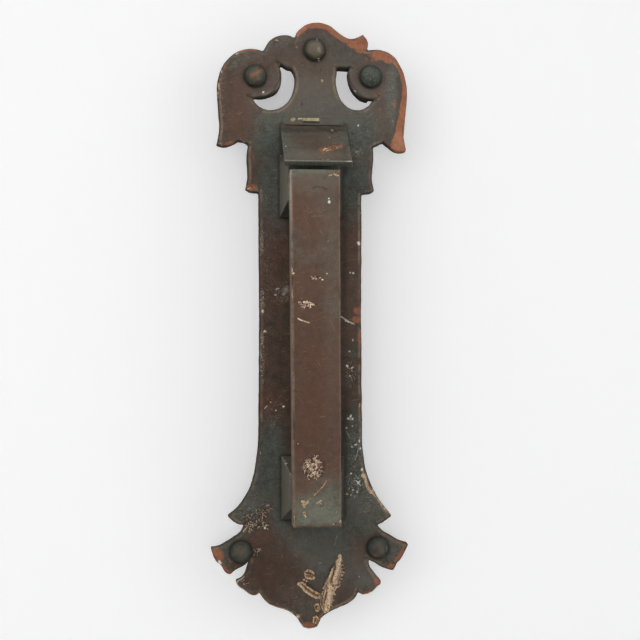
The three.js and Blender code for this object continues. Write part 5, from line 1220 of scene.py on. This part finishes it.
def build_small(node, name, slot, material, voxel, seed, dent=0.05):
    mesh = refined(node, voxel)
    p = points(mesh)
    e = edge_list(mesh)
    p = spread(p, e, 1, 0.4)
    put(mesh, p)
    n = normals(mesh)
    p = p - n * (dent * fractal(p, 3.0, seed, 2) + 0.3 * dent * value_noise(p, 0.9, seed + 1))[:, None]
    put(mesh, p)
    bend = convexity(mesh, p, e, 2)
    paint(mesh, worn=step(0.05, 0.16, bend) * 0.9, verd=0.8 * step(0.45, 0.75, fractal(p, 5.0, seed + 2, 3)), grime=(1 - step(-0.16, -0.03, bend)) * 0.6,
          copper=0.8 * step(0.5, 0.8, fractal(p, 4.0, seed + 3, 2)) if slot == "rivet_copper" else np.zeros(len(p)))
    return settle(mesh, name, node, material)


build_small("hinge_knuckle", "hinge_knuckle_bronze", "block_patina", MATS["block"], 0.35, 300, 0.04)
build_small("hinge_pin", "hinge_pin_steel", "pin_metal", MATS["pin"], 0.28, 310, 0.03)
for k, node in enumerate(("hinge_block_rivet_left", "hinge_block_rivet_right", "strike_block_rivet_upper", "strike_block_rivet_lower")):
    build_small(node, node + "_copper", "rivet_copper", MATS["rivet"], 0.3, 320 + 10 * k, 0.08)

# ---------------------------------------------------------------- camera

YAW, PITCH = math.radians(5.88062), math.radians(0.41821)
right = Vector((math.cos(YAW), -math.sin(YAW), 0))
ahead = Vector((math.sin(YAW) * math.cos(PITCH), math.cos(YAW) * math.cos(PITCH), math.sin(PITCH)))
up = Vector((-math.sin(YAW) * math.sin(PITCH), -math.cos(YAW) * math.sin(PITCH), math.cos(PITCH)))
lens = bpy.data.cameras.new("camera")
lens.sensor_width = 36
lens.angle = math.radians(29.0979)
lens.clip_start, lens.clip_end = 0.01, 50
camera = bpy.data.objects.new("camera", lens)
bpy.context.scene.collection.objects.link(camera)
camera.matrix_world = Matrix((
    (right.x, up.x, -ahead.x, -0.066348),
    (right.y, up.y, -ahead.y, -0.704000),
    (right.z, up.z, -ahead.z, -0.002274),
    (0, 0, 0, 1),
))
bpy.context.scene.camera = camera

# ---------------------------------------------------------------- studio


def plane(name, corners, material):
    mesh = bpy.data.meshes.new(name)
    mesh.from_pydata(corners, [], [(0, 1, 2, 3)])
    mesh.materials.append(material)
    ob = bpy.data.objects.new(name, mesh)
    bpy.context.scene.collection.objects.link(ob)
    return ob


def paper(name, shade, glow, bounce, hide_from_behind=False):
    """Pale studio paper. The wall behind the object is left out of the picture when the camera goes round behind it."""
    mat = bpy.data.materials.new(name)
    mat.use_nodes = True
    nt = mat.node_tree
    nt.nodes.clear()
    out = nt.nodes.new("ShaderNodeOutputMaterial")
    bsdf = nt.nodes.new("ShaderNodeBsdfPrincipled")
    bsdf.inputs["Roughness"].default_value = 0.9
    bsdf.inputs["Specular IOR Level"].default_value = 0.0
    bsdf.inputs["Emission Color"].default_value = (1.0, 1.0, 1.0, 1)
    # seen directly it is pale paper; it throws less light back at the object than it shows
    seen = nt.nodes.new("ShaderNodeLightPath")
    tone = nt.nodes.new("ShaderNodeMix")
    tone.data_type = "RGBA"
    tone.inputs[6].default_value = (*(c * bounce for c in shade), 1)
    tone.inputs[7].default_value = (*shade, 1)
    nt.links.new(seen.outputs["Is Camera Ray"], tone.inputs[0])
    nt.links.new(tone.outputs[2], bsdf.inputs["Base Color"])
    shine = nt.nodes.new("ShaderNodeMath")
    shine.operation = "MULTIPLY"
    shine.inputs[1].default_value = glow
    nt.links.new(seen.outputs["Is Camera Ray"], shine.inputs[0])
    nt.links.new(shine.outputs[0], bsdf.inputs["Emission Strength"])
    if not hide_from_behind:
        nt.links.new(bsdf.outputs[0], out.inputs[0])
        return mat
    where = nt.nodes.new("ShaderNodeVectorTransform")
    where.vector_type, where.convert_from, where.convert_to = "POINT", "CAMERA", "WORLD"
    where.inputs[0].default_value = (0, 0, 0)
    split = nt.nodes.new("ShaderNodeSeparateXYZ")
    behind = nt.nodes.new("ShaderNodeMath")
    behind.operation = "GREATER_THAN"
    behind.inputs[1].default_value = -0.25
    clear = nt.nodes.new("ShaderNodeBsdfTransparent")
    mix = nt.nodes.new("ShaderNodeMixShader")
    nt.links.new(where.outputs[0], split.inputs[0])
    nt.links.new(split.outputs[1], behind.inputs[0])
    nt.links.new(behind.outputs[0], mix.inputs[0])
    nt.links.new(bsdf.outputs[0], mix.inputs[1])
    nt.links.new(clear.outputs[0], mix.inputs[2])
    nt.links.new(mix.outputs[0], out.inputs[0])
    return mat


WALL_Y, FLOOR_Z = 0.034, -0.27
plane("backdrop", [(-3, WALL_Y, FLOOR_Z), (3, WALL_Y, FLOOR_Z), (3, WALL_Y, 3), (-3, WALL_Y, 3)], paper("backdrop_paper", (0.86, 0.86, 0.862), 0.26, 0.45, True))
plane("floor", [(-4, -4, FLOOR_Z), (4, -4, FLOOR_Z), (4, 4, FLOOR_Z), (-4, 4, FLOOR_Z)], paper("floor_paper", (0.80, 0.80, 0.805), 0.12, 0.75))


def lamp(name, place, aim, size, watts, colour=(1, 1, 1)):
    data = bpy.data.lights.new(name, "AREA")
    data.shape = "DISK"
    data.size = size
    data.energy = watts
    data.color = colour
    ob = bpy.data.objects.new(name, data)
    bpy.context.scene.collection.objects.link(ob)
    ob.location = place
    ob.rotation_mode = "QUATERNION"
    ob.rotation_quaternion = (Vector(aim) - Vector(place)).to_track_quat("-Z", "Y")
    return ob


key = lamp("key", (-0.75, -1.5, 1.25), (0, 0, 0), 1.1, 15.2)
fill = lamp("fill", (1.3, -1.5, 0.3), (0, 0, 0), 1.2, 7.6)
lamp("back_key", (0.9, 1.5, 1.1), (0, 0, 0), 1.2, 14)
lamp("back_fill", (-1.3, 1.4, 0.2), (0, 0, 0), 1.2, 6)
# the wall has lower, broader lamps of its own, so the object's shadow spreads softly to both sides and not downwards
wall_key = lamp("wall_key", (-0.70, -1.5, 0.10), (0, 0, 0), 1.4, 8.4)
wall_fill = lamp("wall_fill", (1.3, -1.5, 0.05), (0, 0, 0), 1.4, 4.2)
wall_front = lamp("wall_front", (-0.05, -1.5, -0.05), (0, 0, -0.05), 0.4, 2.0)
for light, state in ((key, "EXCLUDE"), (fill, "EXCLUDE"), (wall_key, "INCLUDE"), (wall_fill, "INCLUDE"), (wall_front, "INCLUDE")):
    group = bpy.data.collections.new(light.name + "_lights")
    group.objects.link(bpy.data.objects["backdrop"])
    group.collection_objects[0].light_linking.link_state = state
    light.light_linking.receiver_collection = group

world = bpy.data.worlds.new("studio")
world.use_nodes = True
sky = world.node_tree.nodes["Background"]
sky.inputs[1].default_value = 0.46
# the light comes mostly from above: the sky is bright overhead and dim below
where = world.node_tree.nodes.new("ShaderNodeTexCoord")
parts = world.node_tree.nodes.new("ShaderNodeSeparateXYZ")
height = world.node_tree.nodes.new("ShaderNodeMapRange")
height.inputs["From Min"].default_value, height.inputs["From Max"].default_value = -0.6, 0.6
height.inputs["To Min"].default_value, height.inputs["To Max"].default_value = 0.45, 1.2
world.node_tree.links.new(where.outputs["Generated"], parts.inputs[0])
world.node_tree.links.new(parts.outputs[2], height.inputs["Value"])
world.node_tree.links.new(height.outputs[0], sky.inputs[0])
bpy.context.scene.world = world
bpy.context.scene.view_settings.view_transform = "Standard"
bpy.context.scene.view_settings.look = "None"
